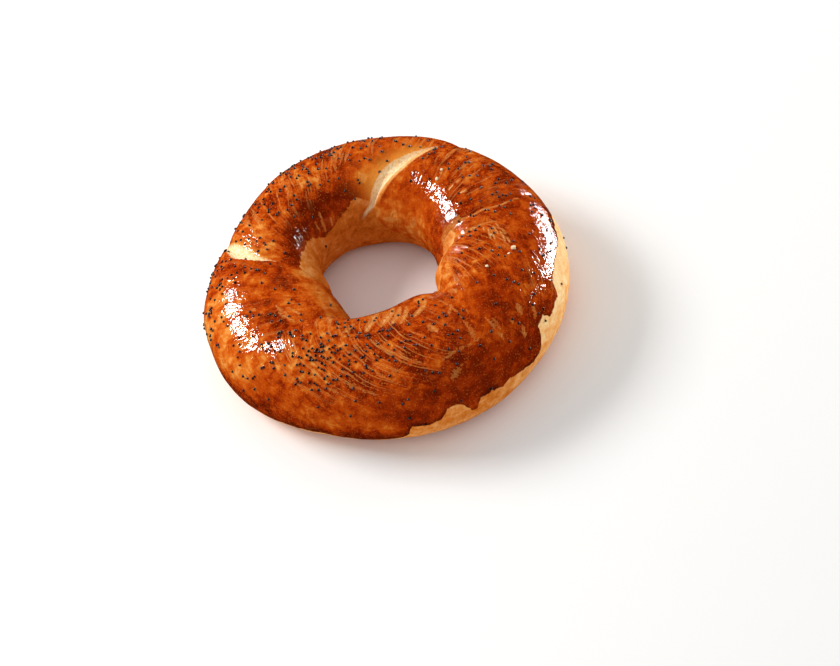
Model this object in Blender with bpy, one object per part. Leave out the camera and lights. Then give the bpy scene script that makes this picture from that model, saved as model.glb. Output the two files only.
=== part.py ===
"""An acma roll: a soft ring of twisted dough, baked on a tray, with poppy seeds baked into its crust.

The ring lies on its flat base, with the origin at the middle of the base and +Z up. A place on the
crust is given by two angles in degrees. The ring angle goes round the ring, anticlockwise from +X as
seen from above. The section angle goes round the dough rope: 0 faces outwards, 90 is the top, 180
faces the hole and 270 is the base. Sizes below are in millimetres unless a name says otherwise.
"""

import math

import bmesh
import bpy
import numpy as np
from mathutils import Matrix, Vector

MM = 0.001

# The ring as a whole.
OUTER_RADIUS = 64.9
HOLE_RADIUS = 23.2
HEIGHT = 35.0
# A hand-shaped ring isn't round: (waves round the ring, cosine part, sine part) of each outline.
OUTER_WAVES = ((2, 0.6, 0.3), (3, -0.5, -1.0), (4, 0.9, 0.6))
HOLE_WAVES = ((1, -1.4, 4.4), (2, -1.6, 0.3), (3, 1.0, -0.6), (4, -1.5, -0.4))

# The rope's section: a domed top over a squarer lower half that the tray has flattened.
WIDEST_AT = 0.42 * HEIGHT
LOWER_DEPTH = 0.45 * HEIGHT
DOME_POWER = 2.2
LOWER_POWER = 2.8

# Soft swellings of the dough: (ring angle, section angle, rise, spread).
SWELLINGS = (
    (333.0, 150.0, 2.6, 11.0),
    (212.0, 158.0, 2.4, 10.0),
    (208.0, 48.0, 1.2, 16.0),
    (48.0, 185.0, 1.6, 10.0),
    (40.0, 92.0, 1.2, 14.0),
    (125.0, 70.0, 0.8, 16.0),
    (280.0, 60.0, 0.8, 18.0),
)

# The seams of the twist. Each runs so that the turn of dough that laps over is on its left, and each
# point is (ring angle, section angle, valley depth, valley half width, lap height, split width).
SEAMS = {
    "back split": (
        (36, -40, 0.3, 3.0, 0.0, 0.0),
        (43, 5, 0.7, 3.5, 0.2, 0.0),
        (49, 42, 1.0, 3.5, 0.5, 0.3),
        (52, 54, 1.2, 3.5, 0.8, 0.5),
        (56, 67, 1.3, 4.0, 1.0, 1.1),
        (59, 79, 1.4, 4.5, 1.3, 2.3),
        (63.5, 95, 1.5, 5.0, 1.6, 4.1),
        (67.5, 107, 1.6, 5.5, 1.8, 4.9),
        (72.5, 118, 1.7, 5.5, 1.9, 5.0),
        (78, 129, 1.9, 5.5, 1.9, 3.9),
        (82.5, 139, 2.1, 5.0, 1.7, 2.6),
        (87, 152, 2.3, 4.5, 1.3, 1.6),
        (95, 164, 2.2, 4.0, 0.8, 0.6),
        (101, 180, 2.0, 4.0, 0.5, 0.0),
        (106, 205, 1.2, 4.0, 0.2, 0.0),
    ),
    "left split": (
        (206, 212, 1.5, 4.0, 0.3, 0.0),
        (199, 188, 2.2, 4.5, 0.9, 0.0),
        (193, 165, 2.2, 4.5, 1.5, 0.0),
        (187, 147, 1.9, 4.5, 1.9, 0.2),
        (182.5, 137, 1.7, 4.5, 2.0, 0.3),
        (177.5, 129, 1.6, 4.5, 2.0, 0.4),
        (173.5, 119, 1.5, 4.5, 2.0, 0.6),
        (171, 108, 1.5, 4.5, 1.9, 0.9),
        (169.5, 90, 1.5, 4.5, 1.8, 2.6),
        (167.5, 76, 1.5, 5.0, 1.7, 4.6),
        (165, 63, 1.4, 5.0, 1.5, 5.8),
        (160.5, 51, 1.2, 4.5, 1.2, 4.4),
        (155, 33, 1.0, 4.0, 0.8, 1.2),
        (149, 8, 0.8, 4.0, 0.4, 0.0),
        (142, -35, 0.3, 4.0, 0.0, 0.0),
    ),
    "front fold": (
        (256, 205, 1.5, 4.0, 0.2, 0.0),
        (248, 180, 2.4, 4.0, 0.7, 0.0),
        (242, 160, 2.6, 4.0, 1.0, 0.0),
        (236, 141, 2.2, 4.0, 1.1, 0.0),
        (227.5, 126, 1.5, 3.5, 1.0, 0.0),
        (223, 113, 1.0, 3.0, 0.8, 0.0),
        (218.5, 93, 0.7, 2.5, 0.5, 0.0),
        (215, 72, 0.4, 2.5, 0.2, 0.0),
        (211, 52, 0.0, 2.5, 0.0, 0.0),
    ),
    "right fold": (
        (14, 20, 0.0, 2.0, 0.0, 0.0),
        (12, 57, 0.5, 2.0, 0.2, 0.0),
        (11, 77, 0.7, 2.0, 0.3, 0.0),
        (11, 98, 0.9, 2.0, 0.4, 0.0),
        (10.5, 112, 1.2, 2.5, 0.5, 0.0),
        (9, 127, 2.2, 3.5, 0.8, 0.0),
        (5, 139, 3.8, 4.5, 1.2, 0.0),
        (1, 152, 4.6, 5.0, 1.3, 0.0),
        (358, 168, 4.4, 5.0, 1.0, 0.0),
        (355, 190, 3.0, 5.0, 0.5, 0.0),
        (353, 212, 1.2, 5.0, 0.2, 0.0),
    ),
    "right wrinkle": (
        (359, 74, 0.0, 1.6, 0.0, 0.0),
        (1, 90, 0.5, 1.6, 0.2, 0.0),
        (0.5, 104, 0.7, 1.8, 0.3, 0.0),
        (359, 116, 0.8, 1.8, 0.3, 0.0),
        (359.5, 130, 0.8, 2.0, 0.3, 0.0),
        (358, 142, 0.4, 2.0, 0.0, 0.0),
    ),
    "lower fold": (
        (293, 50, 0.0, 2.5, 0.0, 0.0),
        (298, 68, 0.4, 2.5, 0.2, 0.0),
        (301, 84, 0.6, 3.0, 0.3, 0.0),
        (304, 102, 1.0, 3.5, 0.5, 0.0),
        (309, 124, 2.3, 4.0, 0.9, 0.0),
        (313, 143, 3.6, 4.5, 1.1, 0.0),
        (317, 168, 3.6, 5.0, 0.8, 0.0),
        (321, 195, 2.2, 5.0, 0.4, 0.0),
        (324, 215, 0.8, 5.0, 0.0, 0.0),
    ),
}
SEAM_STEPS = 6  # straight pieces between two of a seam's points
LIP_BLEND = 0.9  # how wide the step up onto a lap is
LAP_SPREAD = 9.0  # how far a lap's rise carries on beyond its lip
SPLIT_DEPTH = 1.1  # how far a split's floor lies below the crust beside it

# Lumps of hand-rolled dough: (lump size, height).
LUMPS = ((26.0, 0.7), (11.0, 0.3))
LUMP_SEED = 11

# The crust as a mesh: points round the ring and round the rope before it is thinned out.
RING_STEPS = 400
ROPE_STEPS = 128
CRUST_TRIANGLES = 5800
FLAT_BELOW = 0.35  # crust lower than this rests on the tray

# Poppy seeds, with their size and how far they are sunk in the crust.
SEED_COUNT = 150
SEED_RADII = (0.62, 0.54, 0.5)
SEED_SUNK = 0.12
SEED_SPACING = 2.6
SEED_DRAW = 5
# Where the seeds fell thickest: (ring angle, section angle, spread in degrees, share of the seeds).
SEED_DRIFTS = (
    (236.0, 72.0, 7.0, 0.07),
    (248.0, 78.0, 26.0, 0.32),
    (186.0, 42.0, 20.0, 0.11),
    (30.0, 84.0, 22.0, 0.10),
    (105.0, 72.0, 30.0, 0.15),
    (350.0, 84.0, 22.0, 0.08),
)
SEED_BAND = (8.0, 138.0)  # section angles between which the rest of the seeds lie

CRUST_COLOUR = (0.52, 0.17, 0.035, 1.0)
CRUST_ROUGHNESS = 0.3


def clear_scene():
    """Removes whatever the scene holds."""
    for thing in list(bpy.data.objects):
        bpy.data.objects.remove(thing)


def outline(ring, radius, waves):
    """The radius of a wavy outline at each ring angle, in radians."""
    total = np.full_like(ring, radius)
    for count, cosine, sine in waves:
        total += cosine * np.cos(count * ring) + sine * np.sin(count * ring)
    return total


def plain_ring(ring, section):
    """Points of the ring before its seams and lumps, for angles in radians."""
    outer = outline(ring, OUTER_RADIUS, OUTER_WAVES)
    hole = outline(ring, HOLE_RADIUS, HOLE_WAVES)
    across, up = np.cos(section), np.sin(section)
    power = np.where(up > 0, DOME_POWER, LOWER_POWER)
    reach = (np.abs(across) ** power + np.abs(up) ** power) ** (-1 / power)
    radius = (outer + hole) / 2 + (outer - hole) / 2 * reach * across
    rise = np.where(up > 0, HEIGHT - WIDEST_AT, LOWER_DEPTH)
    height = WIDEST_AT + rise * reach * up
    return np.stack([radius * np.cos(ring), radius * np.sin(ring), height], -1)


def outward(surface, ring, section):
    """The outward direction of a surface at each place, from the slopes beside it."""
    step = math.radians(0.25)
    along = surface(ring + step, section) - surface(ring - step, section)
    round_rope = surface(ring, section + step) - surface(ring, section - step)
    normal = np.cross(along, round_rope)
    return normal / np.linalg.norm(normal, axis=-1, keepdims=True)


def hashed(corner, seed):
    """A repeatable number from -1 to 1 for each whole-numbered point of space."""
    mixed = corner @ np.array((73856093, 19349663, 83492791)) + seed * 97561
    for shift in (13, 11):
        mixed = ((mixed ^ (mixed >> shift)) * 1274126177) & 0x7FFFFFFF
    return (mixed % 20011) / 10005.0 - 1.0


def unevenness(points, lump, seed):
    """Smooth repeatable lumps from -1 to 1, each about one lump across."""
    scaled = points / lump
    low = np.floor(scaled).astype(np.int64)
    part = scaled - low
    part = part * part * (3 - 2 * part)
    total = np.zeros(points.shape[:-1])
    for corner in np.ndindex(2, 2, 2):
        near = np.where(np.array(corner), part, 1 - part).prod(-1)
        total += near * hashed(low + np.array(corner), seed)
    return total


def smooth_path(knots, steps):
    """Rows on a smooth curve through the knots, each of which is a row of numbers."""
    knots = np.asarray(knots, float)
    padded = np.vstack([2 * knots[0] - knots[1], knots, 2 * knots[-1] - knots[-2]])
    rows = []
    for before, start, end, after in zip(padded, padded[1:], padded[2:], padded[3:]):
        for t in np.arange(steps) / steps:
            bend = (2 * before - 5 * start + 4 * end - after) * t**2
            turn = (3 * start - before - 3 * end + after) * t**3
            rows.append(start + (end - before) * t / 2 + (bend + turn) / 2)
    return np.array(rows + [knots[-1]])


def seam_relief(points, normals, knots):
    """How far a seam lifts or sinks the crust at each point."""
    path = smooth_path(unwrapped(knots), SEAM_STEPS)
    line = plain_ring(np.radians(path[:, 0]), np.radians(path[:, 1]))
    start, stride = line[:-1], line[1:] - line[:-1]
    offset = points[:, None, :] - start
    share = (offset * stride).sum(-1) / (stride**2).sum(-1)
    share = np.clip(share, 0, 1)
    gap = offset - share[..., None] * stride
    nearest = (gap**2).sum(-1).argmin(1)
    rows = np.arange(len(points))
    gap, share = gap[rows, nearest], share[rows, nearest]
    left = np.cross(normals, stride[nearest])
    side = np.sign((left * gap).sum(-1))
    distance = side * np.linalg.norm(gap, axis=-1)
    shape = path[nearest, 2:] * (1 - share[:, None]) + path[nearest + 1, 2:] * share[:, None]
    depth, width, lap, split = shape.T

    under = distance + split / 2
    relief = -depth * np.exp(-((under / (width + split / 2)) ** 2))
    lip = np.clip(distance / LIP_BLEND + 0.5, 0, 1)
    lip = lip * lip * (3 - 2 * lip)
    relief += lap * lip * np.exp(-np.maximum(distance, 0) / LAP_SPREAD)
    inside = np.clip(1 - (2 * under / np.maximum(split, 0.4)) ** 2, 0, 1)
    relief -= SPLIT_DEPTH * np.sqrt(inside) * np.minimum(split / 2, 1)
    return relief


def unwrapped(knots):
    """A seam's knots with ring angles that don't jump at 360."""
    first = knots[0][0]
    return [((k[0] - first + 180) % 360 - 180 + first, *k[1:]) for k in knots]


def relief(points, normals):
    """The rise of the crust over the plain ring: swellings, lumps and seams."""
    total = np.zeros(len(points))
    for ring, section, rise, spread in SWELLINGS:
        middle = plain_ring(np.radians([ring]), np.radians([section]))
        far = ((points - middle) ** 2).sum(-1)
        total += rise * np.exp(-far / (2 * spread**2))
    for number, (lump, height) in enumerate(LUMPS):
        total += height * unevenness(points, lump, LUMP_SEED + number)
    for knots in SEAMS.values():
        total += seam_relief(points, normals, knots)
    return total


def crust(ring, section):
    """Points of the finished crust for angles in radians, with the base flattened on the tray."""
    shape = np.shape(ring)
    ring, section = np.ravel(ring), np.ravel(section)
    points = plain_ring(ring, section)
    normals = outward(plain_ring, ring, section)
    points = points + normals * relief(points, normals)[:, None]
    points[:, 2] = np.maximum(points[:, 2], 0)
    return points.reshape(*shape, 3)


def grid_mesh(name, points):
    """A closed mesh on a grid of points that wraps round both ways."""
    rows, columns = points.shape[:2]
    index = np.arange(rows * columns).reshape(rows, columns)
    ahead = np.roll(index, -1, 0)
    faces = np.stack([index, ahead, np.roll(ahead, -1, 1), np.roll(index, -1, 1)], -1)
    mesh = bpy.data.meshes.new(name)
    mesh.from_pydata((points.reshape(-1, 3) * MM).tolist(), [], faces.reshape(-1, 4).tolist())
    return mesh


def apply_modifiers(thing):
    """Turns an object's modifiers into its own mesh."""
    graph = bpy.context.evaluated_depsgraph_get()
    mesh = bpy.data.meshes.new_from_object(thing.evaluated_get(graph))
    thing.modifiers.clear()
    thing.data = mesh


def crust_grid():
    """Points of the crust in even steps round the ring and round the rope."""
    ring = np.arange(RING_STEPS) * 2 * math.pi / RING_STEPS
    section = np.arange(ROPE_STEPS) * 2 * math.pi / ROPE_STEPS
    return crust(*np.meshgrid(ring, section, indexing="ij"))


def crust_object(points):
    """The dough ring on a grid of points, with its triangles where the crust bends most."""
    thing = bpy.data.objects.new("roll", grid_mesh("roll", points))
    bpy.context.scene.collection.objects.link(thing)
    thin = thing.modifiers.new("thin_out", "DECIMATE")
    thin.ratio = CRUST_TRIANGLES / (2 * RING_STEPS * ROPE_STEPS)
    thin.use_collapse_triangulate = True
    apply_modifiers(thing)
    for vertex in thing.data.vertices:
        if vertex.co.z < FLAT_BELOW * MM:
            vertex.co.z = 0.0
    return thing


def seed_places():
    """Ring and section angles of the seeds, thickest in the drifts and never closer than the spacing."""
    draw = np.random.RandomState(SEED_DRAW)
    shares = np.cumsum([drift[3] for drift in SEED_DRIFTS])
    places, found = [], []
    while len(places) < SEED_COUNT:
        pick = draw.random_sample()
        number = int(np.searchsorted(shares, pick))
        spot = draw.normal(size=2)
        if number < len(SEED_DRIFTS):
            ring, section, spread, _ = SEED_DRIFTS[number]
            place = (ring + spread * spot[0], section + spread * spot[1])
        else:
            low, high = SEED_BAND
            place = (draw.uniform(0, 360), draw.uniform(low, high))
        if not SEED_BAND[0] < place[1] < SEED_BAND[1]:
            continue
        point = plain_ring(*np.radians([[place[0]], [place[1]]]))[0]
        if all(np.linalg.norm(point - other) > SEED_SPACING for other in found):
            found.append(point)
            places.append(place)
    return np.radians(np.array(places))


def seed_object(number, point, normal, turn):
    """One seed, lying in the crust at a point and turned about the crust's outward direction."""
    shell = bmesh.new()
    bmesh.ops.create_icosphere(shell, subdivisions=1, radius=1.0)
    lie = Vector(normal).to_track_quat("Z", "Y").to_matrix().to_4x4()
    sizes = Matrix.Diagonal((*SEED_RADII, 1.0))
    place = Matrix.Translation(Vector(point * MM))
    shell.transform(place @ lie @ Matrix.Rotation(turn, 4, "Z") @ Matrix.Scale(MM, 4) @ sizes)
    mesh = bpy.data.meshes.new(f"seed_{number}")
    shell.to_mesh(mesh)
    shell.free()
    return bpy.data.objects.new(f"seed_{number}", mesh)


def sow_seeds(roll, middle):
    """Fuses the seeds to the crust they lie in."""
    ring, section = seed_places().T
    normals = outward(crust, ring, section)
    points = crust(ring, section) - middle - normals * SEED_SUNK
    draw = np.random.RandomState(SEED_DRAW + 1)
    handful = bpy.data.collections.new("seeds")
    bpy.context.scene.collection.children.link(handful)
    for number, (point, normal) in enumerate(zip(points, normals)):
        handful.objects.link(seed_object(number, point, normal, draw.uniform(0, math.tau)))
    join = roll.modifiers.new("sown", "BOOLEAN")
    join.operation = "UNION"
    join.operand_type = "COLLECTION"
    join.collection = handful
    join.solver = "EXACT"
    apply_modifiers(roll)
    for seed in list(handful.objects):
        bpy.data.objects.remove(seed)
    bpy.data.collections.remove(handful)


def crust_material():
    """Egg-washed crust, glossy and red-brown."""
    material = bpy.data.materials.new("glazed crust")
    material.use_nodes = True
    surface = material.node_tree.nodes["Principled BSDF"]
    surface.inputs["Base Color"].default_value = CRUST_COLOUR
    surface.inputs["Roughness"].default_value = CRUST_ROUGHNESS
    surface.inputs["Metallic"].default_value = 0.0
    return material


def build():
    """Makes the roll."""
    clear_scene()
    points = crust_grid()
    middle = (points.min((0, 1)) + points.max((0, 1))) / 2
    middle[2] = 0.0  # the origin is the middle of the base
    roll = crust_object(points - middle)
    sow_seeds(roll, middle)
    roll.data.materials.clear()
    roll.data.materials.append(crust_material())
    roll.data.shade_smooth()
    roll.data.set_sharp_from_angle(angle=math.radians(40))


build()
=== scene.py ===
"""The looks of an acma roll: a soft ring of twisted dough, egg-washed, sown with poppy seeds and baked.

Lengths are in millimetres, but for those of the lights and the floor, and become metres when a mesh is
made. A place on the crust is given by two angles in degrees. The ring angle goes round the ring,
anticlockwise from +X as seen from above, so 270 is the broad front. The section angle goes round the
dough rope: 0 faces outwards, 90 is the top, 180 faces the hole and 270 is the base.
"""

from __future__ import annotations

import logging
import math
from collections.abc import Iterable, Sequence
from dataclasses import dataclass
from enum import Enum
from typing import Any

import bmesh
import bpy
import numpy as np
from mathutils import Matrix, Vector

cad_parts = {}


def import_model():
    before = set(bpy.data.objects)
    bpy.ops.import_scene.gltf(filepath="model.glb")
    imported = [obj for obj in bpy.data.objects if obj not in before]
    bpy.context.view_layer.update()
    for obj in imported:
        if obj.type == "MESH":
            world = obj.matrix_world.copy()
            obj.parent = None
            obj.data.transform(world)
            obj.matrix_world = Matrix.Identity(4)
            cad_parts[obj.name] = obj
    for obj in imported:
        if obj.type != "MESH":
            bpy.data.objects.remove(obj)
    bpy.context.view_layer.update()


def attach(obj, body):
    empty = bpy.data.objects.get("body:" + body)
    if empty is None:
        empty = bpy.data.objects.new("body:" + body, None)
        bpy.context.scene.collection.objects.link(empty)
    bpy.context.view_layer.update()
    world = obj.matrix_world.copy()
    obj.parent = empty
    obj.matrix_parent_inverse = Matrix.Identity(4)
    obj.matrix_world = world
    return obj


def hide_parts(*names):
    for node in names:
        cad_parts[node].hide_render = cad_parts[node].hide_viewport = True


Array = np.ndarray
Socket = bpy.types.NodeSocket
Stops = Sequence[tuple[float, str]]

MM = 0.001
RING_MM = 0.80  # millimetres along the middle of the rope for a degree of ring angle
SECTION_MM = 0.36  # millimetres across the rope for a degree of section angle
FRONT = 270.0  # ring angle of the broad front
AT_A_TIME = 6000  # points measured against a path at a time, to spare memory
COLOUR_A, COLOUR_B, COLOUR_OUT = 6, 7, 2  # the Mix node's colour sockets

log = logging.getLogger("acma_roll")


def linear(colour: str) -> tuple[float, float, float, float]:
    """Turns an sRGB colour into the linear values that shaders use.

    Args:
        colour: Six hex digits after a hash.

    Returns:
        Red, green, blue and an opacity of 1.
    """
    parts = [int(colour[i : i + 2], 16) / 255 for i in (1, 3, 5)]
    red, green, blue = [p / 12.92 if p <= 0.04045 else ((p + 0.055) / 1.055) ** 2.4 for p in parts]
    return (red, green, blue, 1.0)


def add_node(
    tree: bpy.types.NodeTree,
    kind: str,
    sockets: dict[str | int, Any] | None = None,
    **settings: Any,
) -> bpy.types.Node:
    """Adds a node to a shader or geometry tree.

    Args:
        tree: The tree the node goes into.
        kind: Blender's name for the kind of node.
        sockets: Input name or number to a value, or to another node's output that is linked to it.
        settings: The node's own properties.

    Returns:
        The new node.
    """
    node = tree.nodes.new(kind)
    for name, value in settings.items():
        setattr(node, name, value)
    for name, value in (sockets or {}).items():
        if isinstance(value, Socket):
            tree.links.new(value, node.inputs[name])
        else:
            node.inputs[name].default_value = value
    return node


def add_ramp(tree: bpy.types.NodeTree, value: Socket, stops: Stops) -> Socket:
    """Adds a colour ramp to a shader tree.

    Args:
        tree: The tree it goes into.
        value: The value that it turns into a colour.
        stops: Place from 0 to 1 and sRGB hex colour of each stop, in order.

    Returns:
        The colour.
    """
    ramp = add_node(tree, "ShaderNodeValToRGB", {"Fac": value})
    elements = ramp.color_ramp.elements
    while len(elements) < len(stops):
        elements.new(1.0)
    for element, (place, colour) in zip(elements, stops):
        element.position = place
        element.color = linear(colour)
    return ramp.outputs["Color"]


def new_material(name: str) -> bpy.types.Material:
    """Makes a material with an empty tree.

    Args:
        name: The real finish's name.

    Returns:
        The material.
    """
    material = bpy.data.materials.new(name)
    material.use_nodes = True
    material.node_tree.nodes.clear()
    return material


def new_object(name: str, data: bpy.types.ID) -> bpy.types.Object:
    """Makes an object and puts it in the scene.

    Args:
        name: The object's name.
        data: Its mesh, light or camera.

    Returns:
        The object.
    """
    made = bpy.data.objects.new(name, data)
    bpy.context.scene.collection.objects.link(made)
    return made


def smooth_step(value: Array, low: float, high: float) -> Array:
    """A smooth rise from 0 at the low value to 1 at the high one."""
    share = np.clip((value - low) / (high - low), 0, 1)
    return share * share * (3 - 2 * share)


def smooth_hill(value: Array, rise: tuple[float, float], fall: tuple[float, float]) -> Array:
    """A smooth rise from 0 to 1 and a smooth fall back, each given by where it begins and ends."""
    return smooth_step(value, *rise) * smooth_step(-value, -fall[1], -fall[0])


def turned_near(angle: Array | float, middle: float) -> Array:
    """An angle in degrees, with whole turns added so that it is within half a turn of the middle."""
    return (np.asarray(angle) - middle + 180) % 360 - 180 + middle


def hashed(corner: Array, seed: int) -> Array:
    """A repeatable number for each whole-numbered point of space.

    Args:
        corner: Points, as rows of three whole numbers.
        seed: Which numbers.

    Returns:
        A number from -1 to 1 for each point.
    """
    mixed = corner @ np.array((73856093, 19349663, 83492791)) + seed * 97561
    for shift in (13, 11):
        mixed = ((mixed ^ (mixed >> shift)) * 1274126177) & 0x7FFFFFFF
    return (mixed % 20011) / 10005.0 - 1.0


def unevenness(points: Array, lump: float, seed: int) -> Array:
    """Smooth repeatable lumps.

    Args:
        points: Places, as rows of three.
        lump: About how far it is across one lump.
        seed: Which lumps.

    Returns:
        A number from -1 to 1 for each place.
    """
    scaled = points / lump
    low = np.floor(scaled).astype(np.int64)
    part = scaled - low
    part = part * part * (3 - 2 * part)
    total = np.zeros(points.shape[:-1])
    for corner in np.ndindex(2, 2, 2):
        near = np.where(np.array(corner), part, 1 - part).prod(-1)
        total += near * hashed(low + np.array(corner), seed)
    return total


def smooth_path(knots: Array, steps: int) -> Array:
    """Rows on a smooth curve through the knots.

    Args:
        knots: Rows of numbers that the curve goes through.
        steps: Rows made for each stretch between two knots.

    Returns:
        The rows, in order.
    """
    padded = np.vstack([2 * knots[0] - knots[1], knots, 2 * knots[-1] - knots[-2]])
    rows = []
    for before, start, end, after in zip(padded, padded[1:], padded[2:], padded[3:]):
        for t in np.arange(steps) / steps:
            bend = (2 * before - 5 * start + 4 * end - after) * t**2
            turn = (3 * start - before - 3 * end + after) * t**3
            rows.append(start + (end - before) * t / 2 + (bend + turn) / 2)
    return np.array(rows + [knots[-1]])


@dataclass(frozen=True)
class Outline:
    """A nearly round outline seen from above.

    Attributes:
        radius: Its mean radius.
        waves: Waves round the ring, with the cosine and sine part of each.
    """

    radius: float
    waves: tuple[tuple[int, float, float], ...]

    def at(self, ring: Array) -> Array:
        """The outline's radius.

        Args:
            ring: Ring angles, in radians.

        Returns:
            A radius for each.
        """
        total = np.full_like(ring, self.radius)
        for count, cosine, sine in self.waves:
            total += cosine * np.cos(count * ring) + sine * np.sin(count * ring)
        return total


@dataclass(frozen=True)
class RingForm:
    """The plain ring of dough, before its seams and lumps.

    Attributes:
        outer: Outline of the outside.
        hole: Outline of the hole.
        height: Height of the plain ring.
        widest: Height at which the rope is widest, as a share of the height.
        lower: How deep the lower half reaches before the tray flattens it, as a share of the height.
        dome_power: How square the upper half of the rope's section is.
        lower_power: How square its lower half is.
        centre: Where the outlines' centre lies from the middle of the base.
    """

    outer: Outline = Outline(64.9, ((2, 0.6, 0.3), (3, -0.5, -1.0), (4, 0.9, 0.6)))
    hole: Outline = Outline(23.2, ((1, -1.4, 4.4), (2, -1.6, 0.3), (3, 1.0, -0.6), (4, -1.5, -0.4)))
    height: float = 35.0
    widest: float = 0.42
    lower: float = 0.45
    dome_power: float = 2.2
    lower_power: float = 2.8
    centre: tuple[float, float, float] = (0.65, -0.61, 0.0)

    def points(self, ring: Array, section: Array) -> Array:
        """Points of the plain ring.

        Args:
            ring: Ring angles.
            section: Section angles.

        Returns:
            A point for each pair of angles.
        """
        ring, section = np.radians(ring), np.radians(section)
        outer, hole = self.outer.at(ring), self.hole.at(ring)
        across, up = np.cos(section), np.sin(section)
        power = np.where(up > 0, self.dome_power, self.lower_power)
        reach = (np.abs(across) ** power + np.abs(up) ** power) ** (-1 / power)
        radius = (outer + hole) / 2 + (outer - hole) / 2 * reach * across
        rise = np.where(up > 0, 1 - self.widest, self.lower) * self.height
        height = self.widest * self.height + rise * reach * up
        return np.stack([radius * np.cos(ring), radius * np.sin(ring), height], -1) + self.centre

    def normals(self, ring: Array, section: Array) -> Array:
        """Outward directions of the plain ring.

        Args:
            ring: Ring angles.
            section: Section angles.

        Returns:
            A direction of length 1 for each pair of angles.
        """
        step = 0.25
        along = self.points(ring + step, section) - self.points(ring - step, section)
        across = self.points(ring, section + step) - self.points(ring, section - step)
        normal = np.cross(along, across)
        return normal / np.linalg.norm(normal, axis=-1, keepdims=True)


@dataclass(frozen=True)
class PathTouch:
    """How each point of the crust lies to a path on it.

    Attributes:
        distance: Distance to the path, positive on its left as seen from outside.
        values: The path's own numbers at the nearest place, a column for each.
    """

    distance: Array
    values: Array


def touch_path(points: Array, normals: Array, line: Array, values: Array) -> PathTouch:
    """Measures points of the crust against a path.

    Args:
        points: Points of the crust.
        normals: Outward direction at each.
        line: Points of the path, in order.
        values: The path's numbers at each of its points, a column for each.

    Returns:
        Distances and the path's numbers for every point.
    """
    start, stride = line[:-1], line[1:] - line[:-1]
    length = (stride**2).sum(-1)
    distances, picked = [], []
    for some in np.array_split(np.arange(len(points)), max(1, len(points) // AT_A_TIME)):
        offset = points[some, None, :] - start
        share = np.clip((offset * stride).sum(-1) / length, 0, 1)
        gap = offset - share[..., None] * stride
        nearest = (gap**2).sum(-1).argmin(1)
        rows = np.arange(len(some))
        gap, share = gap[rows, nearest], share[rows, nearest, None]
        left = np.cross(normals[some], stride[nearest])
        side = np.where((left * gap).sum(-1) < 0, -1.0, 1.0)
        distances.append(side * np.linalg.norm(gap, axis=-1))
        picked.append(values[nearest] * (1 - share) + values[nearest + 1] * share)
    return PathTouch(np.concatenate(distances), np.concatenate(picked))


@dataclass(frozen=True)
class Seam:
    """A seam where one turn of dough laps over the next, with the lap on its left.

    Attributes:
        name: What the seam is.
        knots: Ring angle, section angle, valley depth, valley half width, lap height and split width
            at each knot of its path.
        lip: How wide the step up onto the lap is.
        spread: How far the lap's rise carries on beyond its lip.
        split_depth: How far a split's floor lies below the crust beside it.
    """

    name: str
    knots: tuple[tuple[float, ...], ...]
    lip: float = 0.7
    spread: float = 9.0
    split_depth: float = 1.3

    def path(self) -> Array:
        """The seam's knots joined by a smooth curve, with ring angles that don't jump.

        Returns:
            Rows of the knots' six numbers.
        """
        knots = np.array(self.knots, float)
        knots[:, 0] = turned_near(knots[:, 0], knots[0, 0])
        return smooth_path(knots, 8)

    def touch(self, form: RingForm, points: Array, normals: Array) -> PathTouch:
        """How points of the plain ring lie to this seam."""
        path = self.path()
        return touch_path(points, normals, form.points(path[:, 0], path[:, 1]), path[:, 2:])

    def relief(self, touch: PathTouch) -> Array:
        """How far the seam lifts or sinks the crust.

        Args:
            touch: How the points lie to the seam.

        Returns:
            A height for each point, negative where the crust sinks.
        """
        depth, width, lap, split = touch.values.T
        distance = touch.distance
        under = distance + split / 2
        total = -depth * np.exp(-((under / (width + split / 2)) ** 2))
        lip = smooth_step(distance, -self.lip / 2, self.lip / 2)
        total += lap * lip * np.exp(-np.maximum(distance, 0) / self.spread)
        inside = np.clip(1 - (2 * under / np.maximum(split, 0.4)) ** 4, 0, 1)
        return total - self.split_depth * inside * np.minimum(split / 2, 1)

    def ring_at(self, section: Array) -> Array:
        """Where the seam crosses the rope's section angles.

        Args:
            section: Section angles.

        Returns:
            A ring angle for each.
        """
        path = self.path()
        order = np.argsort(path[:, 1])
        return np.interp(section, path[order, 1], path[order, 0])


@dataclass(frozen=True)
class Swelling:
    """A soft swelling of the dough.

    Attributes:
        ring: Ring angle of its middle.
        section: Section angle of its middle.
        rise: How far its middle stands up.
        spread: How far it reaches.
    """

    ring: float
    section: float
    rise: float
    spread: float

    def lift(self, form: RingForm, points: Array) -> Array:
        """How far the swelling lifts each point."""
        middle = form.points(np.array([self.ring]), np.array([self.section]))
        return self.rise * np.exp(-((points - middle) ** 2).sum(-1) / (2 * self.spread**2))


@dataclass(frozen=True)
class Blot:
    """A soft-edged blot on the crust.

    Attributes:
        ring: Ring angle of its middle.
        section: Section angle of its middle.
        along: Its spread along the rope.
        across: Its spread across the rope.
        strength: How strong it is, with its sign.
    """

    ring: float
    section: float
    along: float
    across: float
    strength: float

    def at(self, ring: Array, section: Array) -> Array:
        """How strong the blot is.

        Args:
            ring: Ring angles.
            section: Section angles.

        Returns:
            A strength for each place.
        """
        x = (turned_near(ring, self.ring) - self.ring) * RING_MM / self.along
        y = (turned_near(section, self.section) - self.section) * SECTION_MM / self.across
        return self.strength * np.exp(-(x * x + y * y) / 2)


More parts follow.
